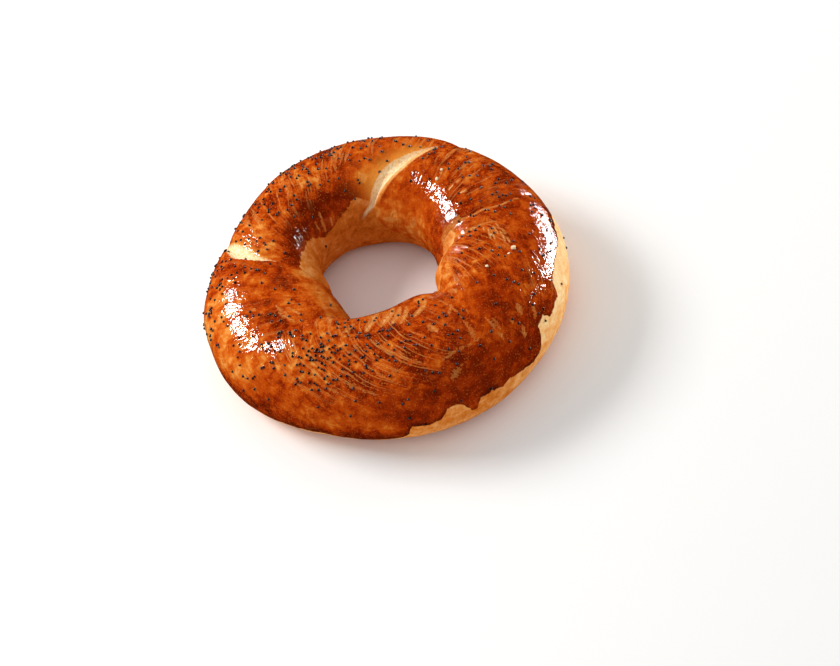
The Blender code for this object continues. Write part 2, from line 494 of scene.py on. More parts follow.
@dataclass(frozen=True)
class Patch:
    """A closed patch of crust.

    Attributes:
        corners: Ring and section angle of each corner, in order.
    """

    corners: tuple[tuple[float, float], ...]

    def depth(self, ring: Array, section: Array) -> Array:
        """Measures the distance to the patch's edge.

        Args:
            ring: Ring angles.
            section: Section angles.

        Returns:
            A distance for each place, positive inside the patch.
        """
        scale = np.array((RING_MM, SECTION_MM))
        corners = np.array(self.corners, float)
        middle = corners[:, 0].mean()
        corners = corners * scale
        places = np.stack([turned_near(ring, middle), section], -1) * scale
        nearest = np.full(len(places), np.inf)
        inside = np.zeros(len(places), bool)
        for start, end in zip(corners, np.roll(corners, -1, 0)):
            stride = end - start
            share = np.clip(((places - start) @ stride) / (stride @ stride), 0, 1)
            gap = np.linalg.norm(places - start - share[:, None] * stride, axis=-1)
            nearest = np.minimum(nearest, gap)
            crosses = (start[1] > places[:, 1]) != (end[1] > places[:, 1])
            rise = stride[1] if stride[1] else 1e-9
            left = places[:, 0] < start[0] + (places[:, 1] - start[1]) * stride[0] / rise
            inside ^= crosses & left
        return np.where(inside, nearest, -nearest)


@dataclass(frozen=True)
class Stroke:
    """A bristle mark or stretched fold where the dough shows pale through the wash.

    Attributes:
        places: Ring and section angles that it runs through.
        width: Its full width in the middle.
        strength: How bare it is. From 1 up, its middle shows the palest dough.
        groove: How deep it lies in the crust.
        tip: Its width at its ends, as a share of that in the middle.
    """

    places: tuple[tuple[float, float], ...]
    width: float
    strength: float
    groove: float = 0.0
    tip: float = 0.35

    def share(self, form: RingForm, points: Array, normals: Array) -> Array:
        """How deep in the stroke each point is.

        Args:
            form: The plain ring.
            points: Points of the plain ring.
            normals: Outward direction at each.

        Returns:
            For each point, 1 along the stroke's middle, 0.5 at its edge and 0 a full width away.
        """
        places = np.array(self.places, float)
        places[:, 0] = turned_near(places[:, 0], places[0, 0])
        path = smooth_path(places, 4)
        along = np.linspace(0, 1, len(path))[:, None]
        touch = touch_path(points, normals, form.points(path[:, 0], path[:, 1]), along)
        taper = np.sqrt(np.clip(4 * touch.values[:, 0] * (1 - touch.values[:, 0]), 0, 1))
        half = self.width / 2 * (self.tip + (1 - self.tip) * taper)
        return np.clip(1 - 0.5 * np.abs(touch.distance) / half, 0, 1)


# The seams of the twist. The first two are open splits.
SEAMS: tuple[Seam, ...] = (
    Seam(
        "back split",
        (
            (36, -40, 0.3, 3.0, 0.0, 0.0),
            (43, 5, 0.7, 3.5, 0.2, 0.0),
            (49, 42, 1.0, 3.5, 0.5, 0.3),
            (52, 54, 1.2, 3.5, 0.8, 0.5),
            (56, 67, 1.3, 4.0, 1.0, 1.1),
            (59, 79, 1.4, 4.5, 1.3, 2.3),
            (63.5, 95, 1.5, 5.0, 1.6, 4.1),
            (67.5, 107, 1.6, 5.5, 1.8, 4.9),
            (72.5, 118, 1.7, 5.5, 1.9, 5.0),
            (78, 129, 1.9, 5.5, 1.9, 3.9),
            (82.5, 139, 2.1, 5.0, 1.7, 2.6),
            (87, 152, 2.3, 4.5, 1.3, 1.6),
            (95, 164, 2.2, 4.0, 0.8, 0.6),
            (101, 180, 2.0, 4.0, 0.5, 0.0),
            (106, 205, 1.2, 4.0, 0.2, 0.0),
        ),
    ),
    Seam(
        "left split",
        (
            (206, 212, 1.5, 4.0, 0.3, 0.0),
            (199, 188, 2.2, 4.5, 0.9, 0.0),
            (193, 165, 2.2, 4.5, 1.5, 0.0),
            (187, 147, 1.9, 4.5, 1.9, 0.2),
            (182.5, 137, 1.7, 4.5, 2.0, 0.3),
            (177.5, 129, 1.6, 4.5, 2.0, 0.4),
            (173.5, 119, 1.5, 4.5, 2.0, 0.6),
            (171, 108, 1.5, 4.5, 1.9, 0.9),
            (169.5, 90, 1.5, 4.5, 1.8, 2.6),
            (167.5, 76, 1.5, 5.0, 1.7, 4.6),
            (165, 63, 1.4, 5.0, 1.5, 5.8),
            (160.5, 51, 1.2, 4.5, 1.2, 4.4),
            (155, 33, 1.0, 4.0, 0.8, 1.2),
            (149, 8, 0.8, 4.0, 0.4, 0.0),
            (142, -35, 0.3, 4.0, 0.0, 0.0),
        ),
    ),
    Seam(
        "front fold",
        (
            (256, 205, 1.5, 4.0, 0.2, 0.0),
            (248, 180, 2.4, 4.0, 0.7, 0.0),
            (242, 160, 2.6, 4.0, 1.0, 0.0),
            (236, 141, 2.2, 4.0, 1.1, 0.0),
            (227.5, 126, 1.5, 3.5, 1.0, 0.0),
            (223, 113, 1.0, 3.0, 0.8, 0.0),
            (218.5, 93, 0.7, 2.5, 0.5, 0.0),
            (215, 72, 0.4, 2.5, 0.2, 0.0),
            (211, 52, 0.0, 2.5, 0.0, 0.0),
        ),
    ),
    Seam(
        "right fold",
        (
            (14, 20, 0.0, 2.0, 0.0, 0.0),
            (12, 57, 0.5, 2.0, 0.2, 0.0),
            (11, 77, 0.7, 2.0, 0.3, 0.0),
            (11, 98, 0.9, 2.0, 0.4, 0.0),
            (10.5, 112, 1.2, 2.5, 0.5, 0.0),
            (9, 127, 2.2, 3.5, 0.8, 0.0),
            (5, 139, 3.8, 4.5, 1.2, 0.0),
            (1, 152, 4.6, 5.0, 1.3, 0.0),
            (358, 168, 4.4, 5.0, 1.0, 0.0),
            (355, 190, 3.0, 5.0, 0.5, 0.0),
            (353, 212, 1.2, 5.0, 0.2, 0.0),
        ),
    ),
    Seam(
        "right wrinkle",
        (
            (359, 74, 0.0, 1.6, 0.0, 0.0),
            (1, 90, 0.5, 1.6, 0.2, 0.0),
            (0.5, 104, 0.7, 1.8, 0.3, 0.0),
            (359, 116, 0.8, 1.8, 0.3, 0.0),
            (359.5, 130, 0.8, 2.0, 0.3, 0.0),
            (358, 142, 0.4, 2.0, 0.0, 0.0),
        ),
    ),
    Seam(
        "lower fold",
        (
            (293, 50, 0.0, 2.5, 0.0, 0.0),
            (298, 68, 0.4, 2.5, 0.2, 0.0),
            (301, 84, 0.6, 3.0, 0.3, 0.0),
            (304, 102, 1.0, 3.5, 0.5, 0.0),
            (309, 124, 2.3, 4.0, 0.9, 0.0),
            (313, 143, 3.6, 4.5, 1.1, 0.0),
            (317, 168, 3.6, 5.0, 0.8, 0.0),
            (321, 195, 2.2, 5.0, 0.4, 0.0),
            (324, 215, 0.8, 5.0, 0.0, 0.0),
        ),
    ),
)

# Where the turns of dough swell most.
SWELLINGS: tuple[Swelling, ...] = (
    Swelling(333, 150, 2.6, 11),
    Swelling(212, 158, 2.4, 10),
    Swelling(208, 48, 1.2, 16),
    Swelling(48, 185, 1.6, 10),
    Swelling(40, 92, 1.2, 14),
    Swelling(125, 70, 0.8, 16),
    Swelling(280, 60, 0.8, 18),
)

# Where the brush stopped on the outside: ring angle and the lowest section angle that it reached.
WASH_EDGE: tuple[tuple[float, float], ...] = (
    (0, 30), (12, 18), (24, 6), (40, -2), (58, 4), (75, -6), (95, 2), (112, -5), (130, 3),
    (150, -4), (168, -2), (180, -8), (196, -20), (215, -26), (235, -26), (246, -30), (262, -30),
    (266.5, -20), (268, 3), (270, 0), (273.5, -3), (277.5, 2), (279.5, 11), (281.5, 14),
    (284.5, 11), (286, 2), (287.5, -8), (289.5, -9), (290.5, 6), (292.5, 5), (295, 7), (299, 0),
    (302, 5), (308, -3), (313.5, -10), (317, -6), (319, 6), (320, 24), (324.5, 26), (326.5, 16),
    (329, 16), (332, 19), (334, 17), (335, 22), (336, 30), (338, 34), (342, 35), (347, 34),
    (351.5, 32), (355, 29),
)

# Inner walls that the brush didn't reach.
BARE_PATCHES: tuple[Patch, ...] = (
    Patch(
        (
            (82, 152), (88, 147), (93, 141), (97, 137), (100, 140), (104, 145), (109, 150),
            (114, 153), (118, 158), (125, 158), (128, 161), (133, 154), (139, 146), (144, 141),
            (149, 141), (157, 136), (162, 132), (169, 130), (175, 132), (188, 147), (193, 165),
            (206, 212), (206, 262), (104, 262), (104, 205), (100, 180), (93, 166), (87, 154),
        ),
    ),
    Patch(
        (
            (450, 158), (440, 178), (428, 190), (416, 196), (400, 202), (386, 206), (374, 200),
            (369, 180), (368, 160), (373, 148), (373, 134), (366, 130), (358, 143), (352, 144),
            (340, 143), (328, 140), (318, 143), (308, 148), (290, 150), (272, 152), (252, 150),
            (250, 262), (360, 262), (470, 262), (470, 205), (466, 180), (458, 164),
        ),
    ),
)

# Inner walls where the wash lies so thin and even that the golden dough shows through it.
THIN_PATCHES: tuple[Patch, ...] = (
    Patch(
        (
            (178, 131), (177.5, 119), (182, 118), (187, 122), (200, 125), (212, 125), (219, 127),
            (226, 125), (231, 133), (238, 146), (244, 164), (252, 205), (252, 262), (206, 262),
            (206, 212), (193, 165), (186, 147),
        ),
    ),
)

# How thick the wash is in the thin patches, on the same scale as the blots below.
THIN_TONE = -0.95

# How thick and dark the wash baked (positive), or how thin and golden (negative).
TONE_BLOTS: tuple[Blot, ...] = (
    Blot(320, 76, 7.5, 5.5, 0.7),
    Blot(309, 74, 4.0, 3.5, 0.3),
    Blot(298, 24, 15.0, 5.0, 0.75),
    Blot(315, 14, 6.0, 4.0, 0.5),
    Blot(322, 33, 5.0, 5.0, 0.45),
    Blot(262, -16, 10.0, 3.0, 0.8),
    Blot(240, 18, 11.0, 5.0, -0.35),
    Blot(275, 62, 10.0, 6.0, 0.3),
    Blot(230, 64, 8.0, 5.0, -0.3),
    Blot(192, 84, 10.0, 4.0, -0.3),
    Blot(191, 36, 7.0, 7.0, -0.7),
    Blot(262, 36, 14.0, 5.0, 0.3),
    Blot(288, 50, 7.0, 3.0, 0.5),
    Blot(284, 68, 8.0, 4.5, 0.25),
    Blot(248, 60, 9.0, 3.5, 0.25),
    Blot(211, -3, 11.0, 4.0, 1.1),
    Blot(190, 12, 10.0, 6.0, -0.75),
    Blot(240, -20, 16.0, 3.5, 0.9),
    Blot(110, 131, 8.5, 4.0, 0.95),
    Blot(126, 125, 9.0, 4.5, 0.7),
    Blot(147, 131, 10.0, 4.0, 0.95),
    Blot(128, 150, 3.0, 5.0, 0.9),
    Blot(166, 125, 5.0, 2.5, 0.9),
    Blot(138, 112, 9.0, 4.0, 0.4),
    Blot(202, 88, 6.0, 3.0, 1.0),
    Blot(187, 108, 5.0, 2.5, 1.1),
    Blot(213, 87, 3.0, 2.5, 1.1),
    Blot(187, 92, 3.5, 2.5, -0.8),
    Blot(207, 115, 5.0, 2.5, -0.6),
    Blot(278, 15, 12.0, 3.0, 0.6),
    Blot(172, 84, 3.0, 5.0, 0.4),
    Blot(22, 136, 6.0, 7.0, 0.6),
    Blot(12, 72, 5.0, 7.0, 0.45),
    Blot(34, 72, 8.0, 5.0, 0.3),
    Blot(79, 140, 2.5, 3.0, 0.7),
    Blot(350, 66, 7.0, 3.0, 0.2),
    Blot(206, 34, 13.0, 5.5, -0.35),
    Blot(224, 42, 8.0, 4.0, -0.2),
    Blot(187, 55, 7.0, 6.0, -0.3),
    Blot(236, 100, 7.0, 4.0, -0.25),
    Blot(281, 127, 8.0, 2.5, -0.35),
    Blot(262, 116, 10.0, 3.5, 0.3),
    Blot(343, 134, 11.0, 4.5, -0.65),
    Blot(66, 156, 12.0, 7.0, -0.5),
    Blot(50, 176, 12.0, 8.0, -0.5),
    Blot(36, 178, 6.0, 8.0, 0.3),
    Blot(76, 130, 5.0, 6.0, -0.35),
    Blot(5, 134, 5.0, 4.0, -0.6),
    Blot(157, 72, 5.0, 8.0, -0.7),
    Blot(163, 104, 4.0, 4.0, -0.6),
    Blot(118, 88, 14.0, 4.5, -0.2),
    Blot(88, 112, 5.0, 6.0, -0.5),
    Blot(87, 131, 3.0, 4.5, -0.9),
    Blot(79, 172, 5.0, 6.0, -0.6),
    Blot(68, 180, 5.0, 6.0, -0.4),
    Blot(331, 141, 6.0, 3.0, -0.8),
    Blot(316, 129, 5.0, 3.0, -0.8),
    Blot(88, 75, 5.0, 4.0, -0.45),
    Blot(81.5, 99, 3.0, 3.0, 0.5),
    Blot(97, 103, 5.0, 3.0, 0.45),
    Blot(96, 117, 4.0, 3.0, -0.45),
    Blot(103, 124, 4.0, 2.0, 0.5),
    Blot(96, 80, 14.0, 7.0, 0.2),
    Blot(106, 62, 14.0, 6.0, 0.2),
    Blot(197, 22, 9.0, 5.0, -0.6),
    Blot(245, 6, 12.0, 4.0, -0.35),
    Blot(99, 129, 3.0, 3.0, 0.5),
    Blot(0, 40, 9.0, 5.0, -0.3),
    Blot(75, 78, 6.0, 5.0, -0.25),
    Blot(205, 103, 6.0, 1.6, -0.5),
)

# How streaky the wash is where no blot says otherwise.
PLAIN_STREAK = 0.45

# Where the bristles left the most marks (positive) and where the wash ran smooth (negative).
STREAK_BLOTS: tuple[Blot, ...] = (
    Blot(246, 84, 16.0, 8.0, 0.65),
    Blot(266, 66, 12.0, 6.0, 0.45),
    Blot(240, 48, 10.0, 5.0, 0.4),
    Blot(262, 108, 12.0, 4.0, 0.5),
    Blot(116, 92, 20.0, 8.0, 0.5),
    Blot(118, 62, 24.0, 6.0, 0.35),
    Blot(352, 90, 7.0, 5.0, 0.25),
    Blot(352, 64, 9.0, 5.0, -0.45),
    Blot(328, 116, 12.0, 5.0, 0.4),
    Blot(346, 114, 10.0, 6.0, 0.45),
    Blot(336, 46, 8.0, 6.0, 0.5),
    Blot(36, 100, 9.0, 6.0, 0.3),
    Blot(48, 60, 12.0, 6.0, 0.4),
    Blot(196, 108, 10.0, 4.0, 0.05),
    Blot(302, 24, 16.0, 5.0, -0.6),
    Blot(318, 78, 8.0, 5.0, -0.7),
    Blot(108, 131, 9.0, 4.5, -0.4),
    Blot(150, 130, 9.0, 4.0, -0.4),
    Blot(208, 32, 14.0, 6.0, -0.3),
    Blot(196, 90, 12.0, 5.0, -0.05),
    Blot(268, 22, 26.0, 7.0, -0.35),
    Blot(62, 152, 14.0, 9.0, -0.35),
    Blot(90, 118, 8.0, 8.0, -0.4),
    Blot(235, 70, 9.0, 7.0, 0.5),
)

# Where the unwashed dough is drawn paler. The first blot is painted light: the lit right side of the
# bare band, drawn paler. The second is dough that stayed pale on the hole's wall.
PALE_AND_LIT_BLOTS: tuple[Blot, ...] = (
    Blot(335, 18, 20.0, 10.0, 1.0),
    Blot(355, 150, 10.0, 6.0, 0.6),
)

# Where the unwashed dough browned most.
BROWN_BLOTS: tuple[Blot, ...] = (
    Blot(210, 132, 22.0, 10.0, 0.3),
    Blot(290, 0, 30.0, 9.0, 0.3),
)

# Where the seeds drifted together, against the tight cluster on the front.
SEED_DRIFTS: tuple[Blot, ...] = (
    Blot(235.5, 73, 2.3, 2.1, 1.1),
    Blot(234, 80, 11.0, 9.0, 0.141),
    Blot(254, 96, 15.0, 7.0, 0.117),
    Blot(268, 70, 16.0, 9.0, 0.051),
    Blot(190, 48, 20.0, 8.0, 0.105),
    Blot(170, 62, 9.0, 8.0, 0.078),
    Blot(20, 82, 16.0, 8.0, 0.087),
    Blot(100, 82, 20.0, 8.0, 0.093),
    Blot(130, 70, 16.0, 8.0, 0.07),
    Blot(350, 84, 16.0, 9.0, 0.063),
    Blot(310, 70, 18.0, 10.0, 0.031),
)

# How thickly single seeds lie on the rest of the top, and how many more there and on the hole's wall.
TOP_SEEDS, WALL_SEEDS = 0.006, 0.004

# Bristle marks and stretched folds, each with its width, strength and groove.
STROKES: tuple[Stroke, ...] = (
    # The front of the hole, where folds kept the brush off the dough.
    Stroke(((259, 138), (257.5, 127), (256, 116), (254, 104)), 2.6, 1.12, 0.15),
    Stroke(((271.5, 134), (268.5, 122), (265, 114), (262.5, 107)), 2.6, 1.12, 0.15),
    Stroke(((277, 129), (274, 118), (271.5, 112), (268.5, 106)), 1.8, 1.1, 0.12),
    Stroke(((281, 124), (278.5, 114), (273, 103)), 1.5, 1.1, 0.1),
    Stroke(((295, 121), (290.5, 114), (286, 110), (281.5, 106)), 1.7, 1.1, 0.1),
    Stroke(((286, 91), (287, 86), (288, 81)), 2.4, 0.8),
    Stroke(((303.5, 100), (300, 96), (297, 91)), 1.2, 0.7),
    Stroke(((243, 103), (244, 109), (246, 117)), 1.5, 0.8, 0.1),
    Stroke(((236, 118), (239, 107), (243, 98)), 1.2, 0.6, 0.1),
    Stroke(((227, 122), (229.5, 118), (232, 113)), 2.6, 0.75, 0.1),
    Stroke(((224, 116), (226, 109), (228, 103)), 1.6, 0.6),
    Stroke(((298.5, 127), (299, 123), (299.5, 119)), 1.4, 0.7),
    # Long bristle marks over the front.
    Stroke(((257.5, 91), (263, 81), (270, 69), (275, 62), (281.5, 54)), 0.9, 0.62, 0.08),
    Stroke(((256.5, 79), (262.5, 65), (268.5, 55)), 0.9, 0.62, 0.08),
    Stroke(((259, 72), (265, 62), (271, 54)), 0.8, 0.55, 0.06),
    Stroke(((252.5, 72), (261, 57), (267, 48)), 0.9, 0.6, 0.08),
    Stroke(((244, 57), (251, 48), (259, 41)), 1.1, 0.55, 0.06),
    Stroke(((251.5, 51), (256.5, 43), (260, 40)), 0.9, 0.5, 0.06),
    Stroke(((236, 52), (243, 44), (252, 36)), 1.1, 0.5, 0.06),
    # Fold lines between the front and the right.
    Stroke(((301, 84), (299.5, 70), (298.5, 57)), 1.8, 0.6),
    Stroke(((282.5, 56), (290, 59), (296, 58), (302, 58)), 1.5, 0.6),
    Stroke(((301, 112), (301.5, 92), (301, 84)), 0.9, 0.7, 0.12),
    Stroke(((306.5, 104), (306, 92), (304, 80)), 0.8, 0.6, 0.12),
    Stroke(((307.5, 69), (307, 56), (306.5, 43)), 1.1, 0.65, 0.08),
    Stroke(((309, 64), (308.5, 54), (307.5, 47)), 1.0, 0.6, 0.08),
    Stroke(((311.5, 120), (312, 113), (311, 107)), 1.8, 0.75, 0.1),
    Stroke(((290.5, 47), (286.5, 43), (283, 39)), 3.4, 0.48),
    Stroke(((320, 55), (319, 51), (318.5, 46)), 2.2, 0.75),
    Stroke(((323.5, 41), (322.5, 37), (321, 32)), 1.9, 0.7),
    Stroke(((315, 38), (314.5, 34), (313.5, 29)), 2.0, 0.7),
    Stroke(((313.5, 51), (313.5, 47)), 1.8, 0.65),
    Stroke(((329, 54), (331, 48), (330, 42)), 1.5, 0.5),
    # The right: a fan of short marks, and the two fold lines beside it.
    Stroke(((357, 98), (353, 97), (349.5, 96)), 0.7, 1.25, 0.06),
    Stroke(((356.5, 96), (352, 94), (348.5, 92)), 0.7, 1.25, 0.06),
    Stroke(((358, 93.5), (355.5, 91.5), (352.5, 90)), 0.65, 1.2, 0.06),
    Stroke(((354, 87.5), (350.5, 85.5), (348, 83.5)), 0.7, 1.25, 0.06),
    Stroke(((359.5, 90.5), (356.5, 88)), 0.65, 1.2, 0.06),
    Stroke(((355.5, 86), (352, 83)), 0.65, 1.2, 0.06),
    Stroke(((350.5, 82), (347, 79.5)), 0.65, 1.15, 0.06),
    Stroke(((346.5, 92.5), (344.5, 90)), 0.7, 1.1, 0.06),
    Stroke(((359, 101.5), (355, 101)), 0.65, 1.1, 0.06),
    Stroke(((346.5, 87), (344, 83)), 0.9, 0.65),
    Stroke(((12, 60), (10, 79), (10, 89), (11, 97), (10.5, 106), (12.5, 118)), 0.95, 1.1, 0.1),
    Stroke(((12.5, 118), (14, 130), (13.5, 141), (12, 151)), 3.2, 0.9),
    Stroke(((10, 141), (4.5, 130), (0.5, 121), (1, 109), (1.5, 101), (1, 89)), 0.95, 1.05, 0.1),
    Stroke(((338, 130), (343, 136), (352, 138)), 1.0, 0.5, 0.1),
    Stroke(((334, 124), (340, 131), (348, 133)), 0.8, 0.45, 0.1),
    # Short dashes near the back split.
    Stroke(((27.5, 106.5), (27, 103), (27, 100)), 1.2, 1.4),
    Stroke(((35, 113), (35, 106)), 0.8, 1.3, 0.08),
    Stroke(((34.5, 103), (34.5, 96)), 0.8, 1.3, 0.08),
    Stroke(((32, 99), (31.5, 94), (32, 90)), 0.7, 1.1),
    Stroke(((44.5, 111), (45, 109)), 1.2, 0.9),
    Stroke(((45, 104), (46, 102)), 1.1, 0.85),
    Stroke(((55.5, 169), (55, 163), (55, 157)), 2.0, 0.75),
    Stroke(((45, 159), (49, 158.5), (54, 158)), 0.8, 0.6, 0.1),
    # The left: ragged marks beside the front fold, and two thin spots.
    Stroke(((201, 95.5), (205.5, 97), (210, 99)), 1.4, 0.7),
    Stroke(((206, 94), (211, 96.5), (216.5, 98)), 1.6, 0.75),
    Stroke(((206, 103), (210, 105), (214, 107)), 1.4, 0.7),
    Stroke(((196.5, 77), (198, 78.5)), 2.2, 0.75),
    Stroke(((200, 81.5), (201, 82.5)), 1.8, 0.7),
    # The far left: marks that slant across the rope.
    Stroke(((126, 52), (128, 62), (131, 74)), 1.2, 0.6, 0.08),
    Stroke(((142, 52), (146, 62), (150, 74)), 1.3, 0.55, 0.08),
    Stroke(((128.5, 74), (131.5, 84)), 1.1, 0.6, 0.06),
    Stroke(((122.5, 74), (124, 84), (126, 96)), 1.1, 0.6, 0.06),
    Stroke(((119, 79), (120.5, 90), (122, 100)), 1.0, 0.55, 0.06),
    Stroke(((101.5, 88), (101.5, 96), (101.5, 105)), 1.1, 0.55, 0.06),
    Stroke(((122, 134), (124, 144), (125, 156)), 1.3, 0.8),
    Stroke(((128, 138), (129, 144), (129, 150)), 1.0, 0.75),
    Stroke(((117, 146), (118, 151), (118.5, 156)), 1.1, 0.7),
    Stroke(((150, 128), (151.5, 133), (153, 138)), 0.7, 0.6),
)


@dataclass(frozen=True)
class Twist:
    """Which turn of the twist each place on the crust belongs to, from the seams that part them.

    Attributes:
        seams: The seams of the twist.
        blend: How far one turn runs into the next on each side of a seam.
    """

    seams: tuple[Seam, ...] = SEAMS
    blend: float = 1.5

    def after(self, name: str, ring: Array, section: Array) -> Array:
        """How far past a seam each place is, within half a turn of it.

        Args:
            name: The seam's name.
            ring: Ring angles.
            section: Section angles.

        Returns:
            0 before the seam and 1 after it, for each place.
        """
        seam = next(seam for seam in self.seams if seam.name == name)
        crossing = seam.ring_at(section)
        past = (ring - crossing + 180) % 360 - 180
        return smooth_step(past * RING_MM, -self.blend, self.blend)


@dataclass(frozen=True)
class EggWash:
    """The egg wash and what it leaves bare, worked out for every point of the crust.

    Attributes:
        twist: The turns of the dough.
        tan_lip: How wide the unwashed lip beside the back split is.
        fade: How far the stretched, paler dough reaches beyond the back split.
        left_fade: The same for the left split.
        golden: How strongly that dough shows its golden colour.
        rim_strength: How dark the wash dried along its outer edge.
        rim_inset: How far inside its edge the dark rim lies.
        rim_width: How far the rim reaches on each side.
        rim_lump: Size of the thicker and thinner stretches of the rim.
        rim_seed: Where they lie.
        pooling: How far above the rim the wash ran together.
        wanders: Size, reach and seed of the lumps by which the bristle marks wander sideways.
        back_slant: How far the back marks slant, for each degree of section angle.
        right_slant: The same for the right marks.
        front_curve: How strongly the front marks curve as they come down the outside.
    """

    twist: Twist = Twist()
    tan_lip: float = 1.1
    fade: float = 5.5
    left_fade: float = 2.2
    golden: float = 0.75
    rim_strength: float = 0.8
    rim_inset: float = 0.6
    rim_width: float = 1.4
    rim_lump: float = 7.0
    rim_seed: int = 77
    pooling: float = 3.0
    wanders: tuple[tuple[float, float, int], ...] = ((9.0, 1.3, 31), (3.0, 0.4, 5))
    back_slant: float = 0.22
    right_slant: float = 0.5
    front_curve: float = 0.005

    def lower_edge(self, ring: Array) -> Array:
        """The lowest section angle that the wash reaches on the outside at each ring angle."""
        places, edge = np.array(WASH_EDGE, float).T
        return np.interp(ring % 360, places, edge, period=360)

    def reach(self, ring: Array, section: Array) -> tuple[Array, Array]:
        """How far inside the washed crust each place is.

        Args:
            ring: Ring angles.
            section: Section angles.

        Returns:
            For each place, its distance inside the whole edge, and inside the outer edge alone.
        """
        outside = turned_near(section, 60)
        outer = (outside - self.lower_edge(ring)) * SECTION_MM
        total = outer.copy()
        for patch in BARE_PATCHES:
            total = np.minimum(total, -patch.depth(ring, section))
        return total, outer

    def splits(self, touches: dict[str, PathTouch]) -> tuple[Array, Array, Array]:
        """Finds the torn dough in the splits, the stretched dough beside them, and the lips' bare edges.

        Args:
            touches: How the crust's points lie to each seam, by its name.

        Returns:
            For each point, how torn it is, how stretched it is, and how bare a lip it is.
        """
        torn, stretched, lips = [], [], []
        for name, fade in (("back split", self.fade), ("left split", self.left_fade)):
            touch = touches[name]
            width, gap = touch.values[:, 3], touch.distance
            within = width / 2 - np.abs(gap + width / 2)
            inside = smooth_step(within, -0.25, 0.15) * smooth_step(width, 0.25, 1.0)
            beyond = np.maximum(-gap - width, 0)
            beside = np.exp(-beyond / fade) * (gap < 0) * smooth_step(width, 0.5, 3.0)
            torn.append(inside)
            stretched.append(beside)
            lip = smooth_hill(gap, (0.0, 0.3), (self.tan_lip, self.tan_lip + 0.5))
            lips.append(lip * smooth_step(width, 0.8, 2.5) * (name == "back split"))
        return np.max(torn, 0), np.max(stretched, 0), np.max(lips, 0)

    def shares(self, ring: Array, section: Array) -> Array:
        """Which way the brush went at each place.

        Args:
            ring: Ring angles.
            section: Section angles.

        Returns:
            A row of three shares for each place, of the back, front and right marks.
        """
        front = self.twist.after("front fold", ring, section)
        beyond = self.twist.after("lower fold", ring, section)
        past_right = self.twist.after("right fold", ring, section)
        near_front = np.abs(turned_near(ring, 260) - 260) < 90
        near_right = np.abs(turned_near(ring, 335) - 335) < 75
        front_share = front * (1 - beyond) * near_front
        right_share = beyond * (1 - past_right) * near_right
        return np.stack([1 - front_share - right_share, front_share, right_share], -1)

    def marks(self, ring: Array, section: Array, points: Array) -> dict[str, Array]:
        """Measures places across and along the bristle marks.

        Args:
            ring: Ring angles.
            section: Section angles.
            points: The crust's points.

        Returns:
            Rows of places for each of the three ways of the brush, by its name.
        """
        wander = sum(reach * unevenness(points, lump, seed) for lump, reach, seed in self.wanders)
        along = SECTION_MM * section
        back = turned_near(ring, 110)
        slant = self.back_slant * smooth_step(back, 60, 110)
        front = turned_near(ring, 260)
        right = turned_near(ring, 330)
        curve = self.front_curve * np.clip(130 - section, 0, 110) ** 2
        across = {
            "back_marks": back - slant * (section - 90),
            "front_marks": front - curve,
            "right_marks": right - self.right_slant * (section - 90),
        }
        return {
            name: np.stack([RING_MM * value + wander, along, np.zeros_like(along)], -1)
            for name, value in across.items()
        }

    def rims(self, section: Array, points: Array, outer: Array) -> tuple[Array, Array]:
        """How the wash dried along its outer edge, in a dark rim with more wash run together above it.

        Args:
            section: Section angles.
            points: The crust's points.
            outer: How far inside the wash's outer edge each point is.

        Returns:
            For each point, how much of the rim's colour it has, and how much thicker its wash is.
        """
        share = np.clip(0.7 + 0.7 * unevenness(points, self.rim_lump, self.rim_seed), 0.25, 1)
        share = self.rim_strength * share * (outer > -2) * (section < 60)
        inside = np.maximum(outer, 0)
        line = np.exp(-(((inside - self.rim_inset) / self.rim_width) ** 2))
        return share * line, share * np.exp(-inside / self.pooling)


class CrustPoint(Enum):
    """Names of the crust's point attributes, which its material reads."""

    WASH = "wash"
    RIM = "wash_rim"
    TONE = "wash_tone"
    STREAK = "wash_streak"
    BARE = "bare_stroke"
    TORN = "torn_dough"
    STRETCH = "stretched_dough"
    LIP = "bare_lip"
    BAKE = "bake"
    SHARES = "mark_shares"
    SEEDS = "seed_share"


@dataclass(frozen=True)
class CrustNodes:
    """The tree of the crust's material, with the values that its colour and relief are mixed from.

    Attributes:
        tree: The material's tree.
        read: The crust's point attributes.
        patterns: Clouds, bands and bristle marks, by name.
    """

    tree: bpy.types.NodeTree
    read: dict[CrustPoint, Socket]
    patterns: dict[str, Socket]

    def step(self, value: Socket, low: float, high: float) -> Socket:
        """Adds a smooth rise.

        Args:
            value: What rises.
            low: Up to this it gives 0.
            high: From this on it gives 1.

        Returns:
            The rise.
        """
        return add_node(
            self.tree,
            "ShaderNodeMapRange",
            {"Value": value, "From Min": low, "From Max": high},
            interpolation_type="SMOOTHSTEP",
        ).outputs[0]

    def product(self, one: Socket, other: Socket) -> Socket:
        """Adds the product of two values."""
        return add_node(self.tree, "ShaderNodeMath", {0: one, 1: other}, operation="MULTIPLY").outputs[0]

    def mix(self, start: float, *terms: tuple[Socket, float], **weights: float) -> Socket:
        """Adds a sum.

        Args:
            start: The number that it starts from.
            terms: Values, each with its weight.
            weights: The weight of each pattern in the sum, by the pattern's name.

        Returns:
            The sum.
        """
        patterns = ((self.patterns[name], weight) for name, weight in weights.items())
        total: Any = start
        for value, weight in (*terms, *patterns):
            total = add_node(
                self.tree,
                "ShaderNodeMath",
                {0: value, 1: weight, 2: total},
                operation="MULTIPLY_ADD",
            ).outputs[0]
        return total

    def over(self, share: Socket, under: Any, over: Any) -> Socket:
        """Lays one colour over another.

        Args:
            share: How much of the upper colour shows.
            under: The lower colour, as a value or another node's output.
            over: The upper colour, as a value or another node's output.

        Returns:
            The mixed colour.
        """
        return add_node(
            self.tree,
            "ShaderNodeMix",
            {"Factor": share, COLOUR_A: under, COLOUR_B: over},
            data_type="RGBA",
        ).outputs[COLOUR_OUT]


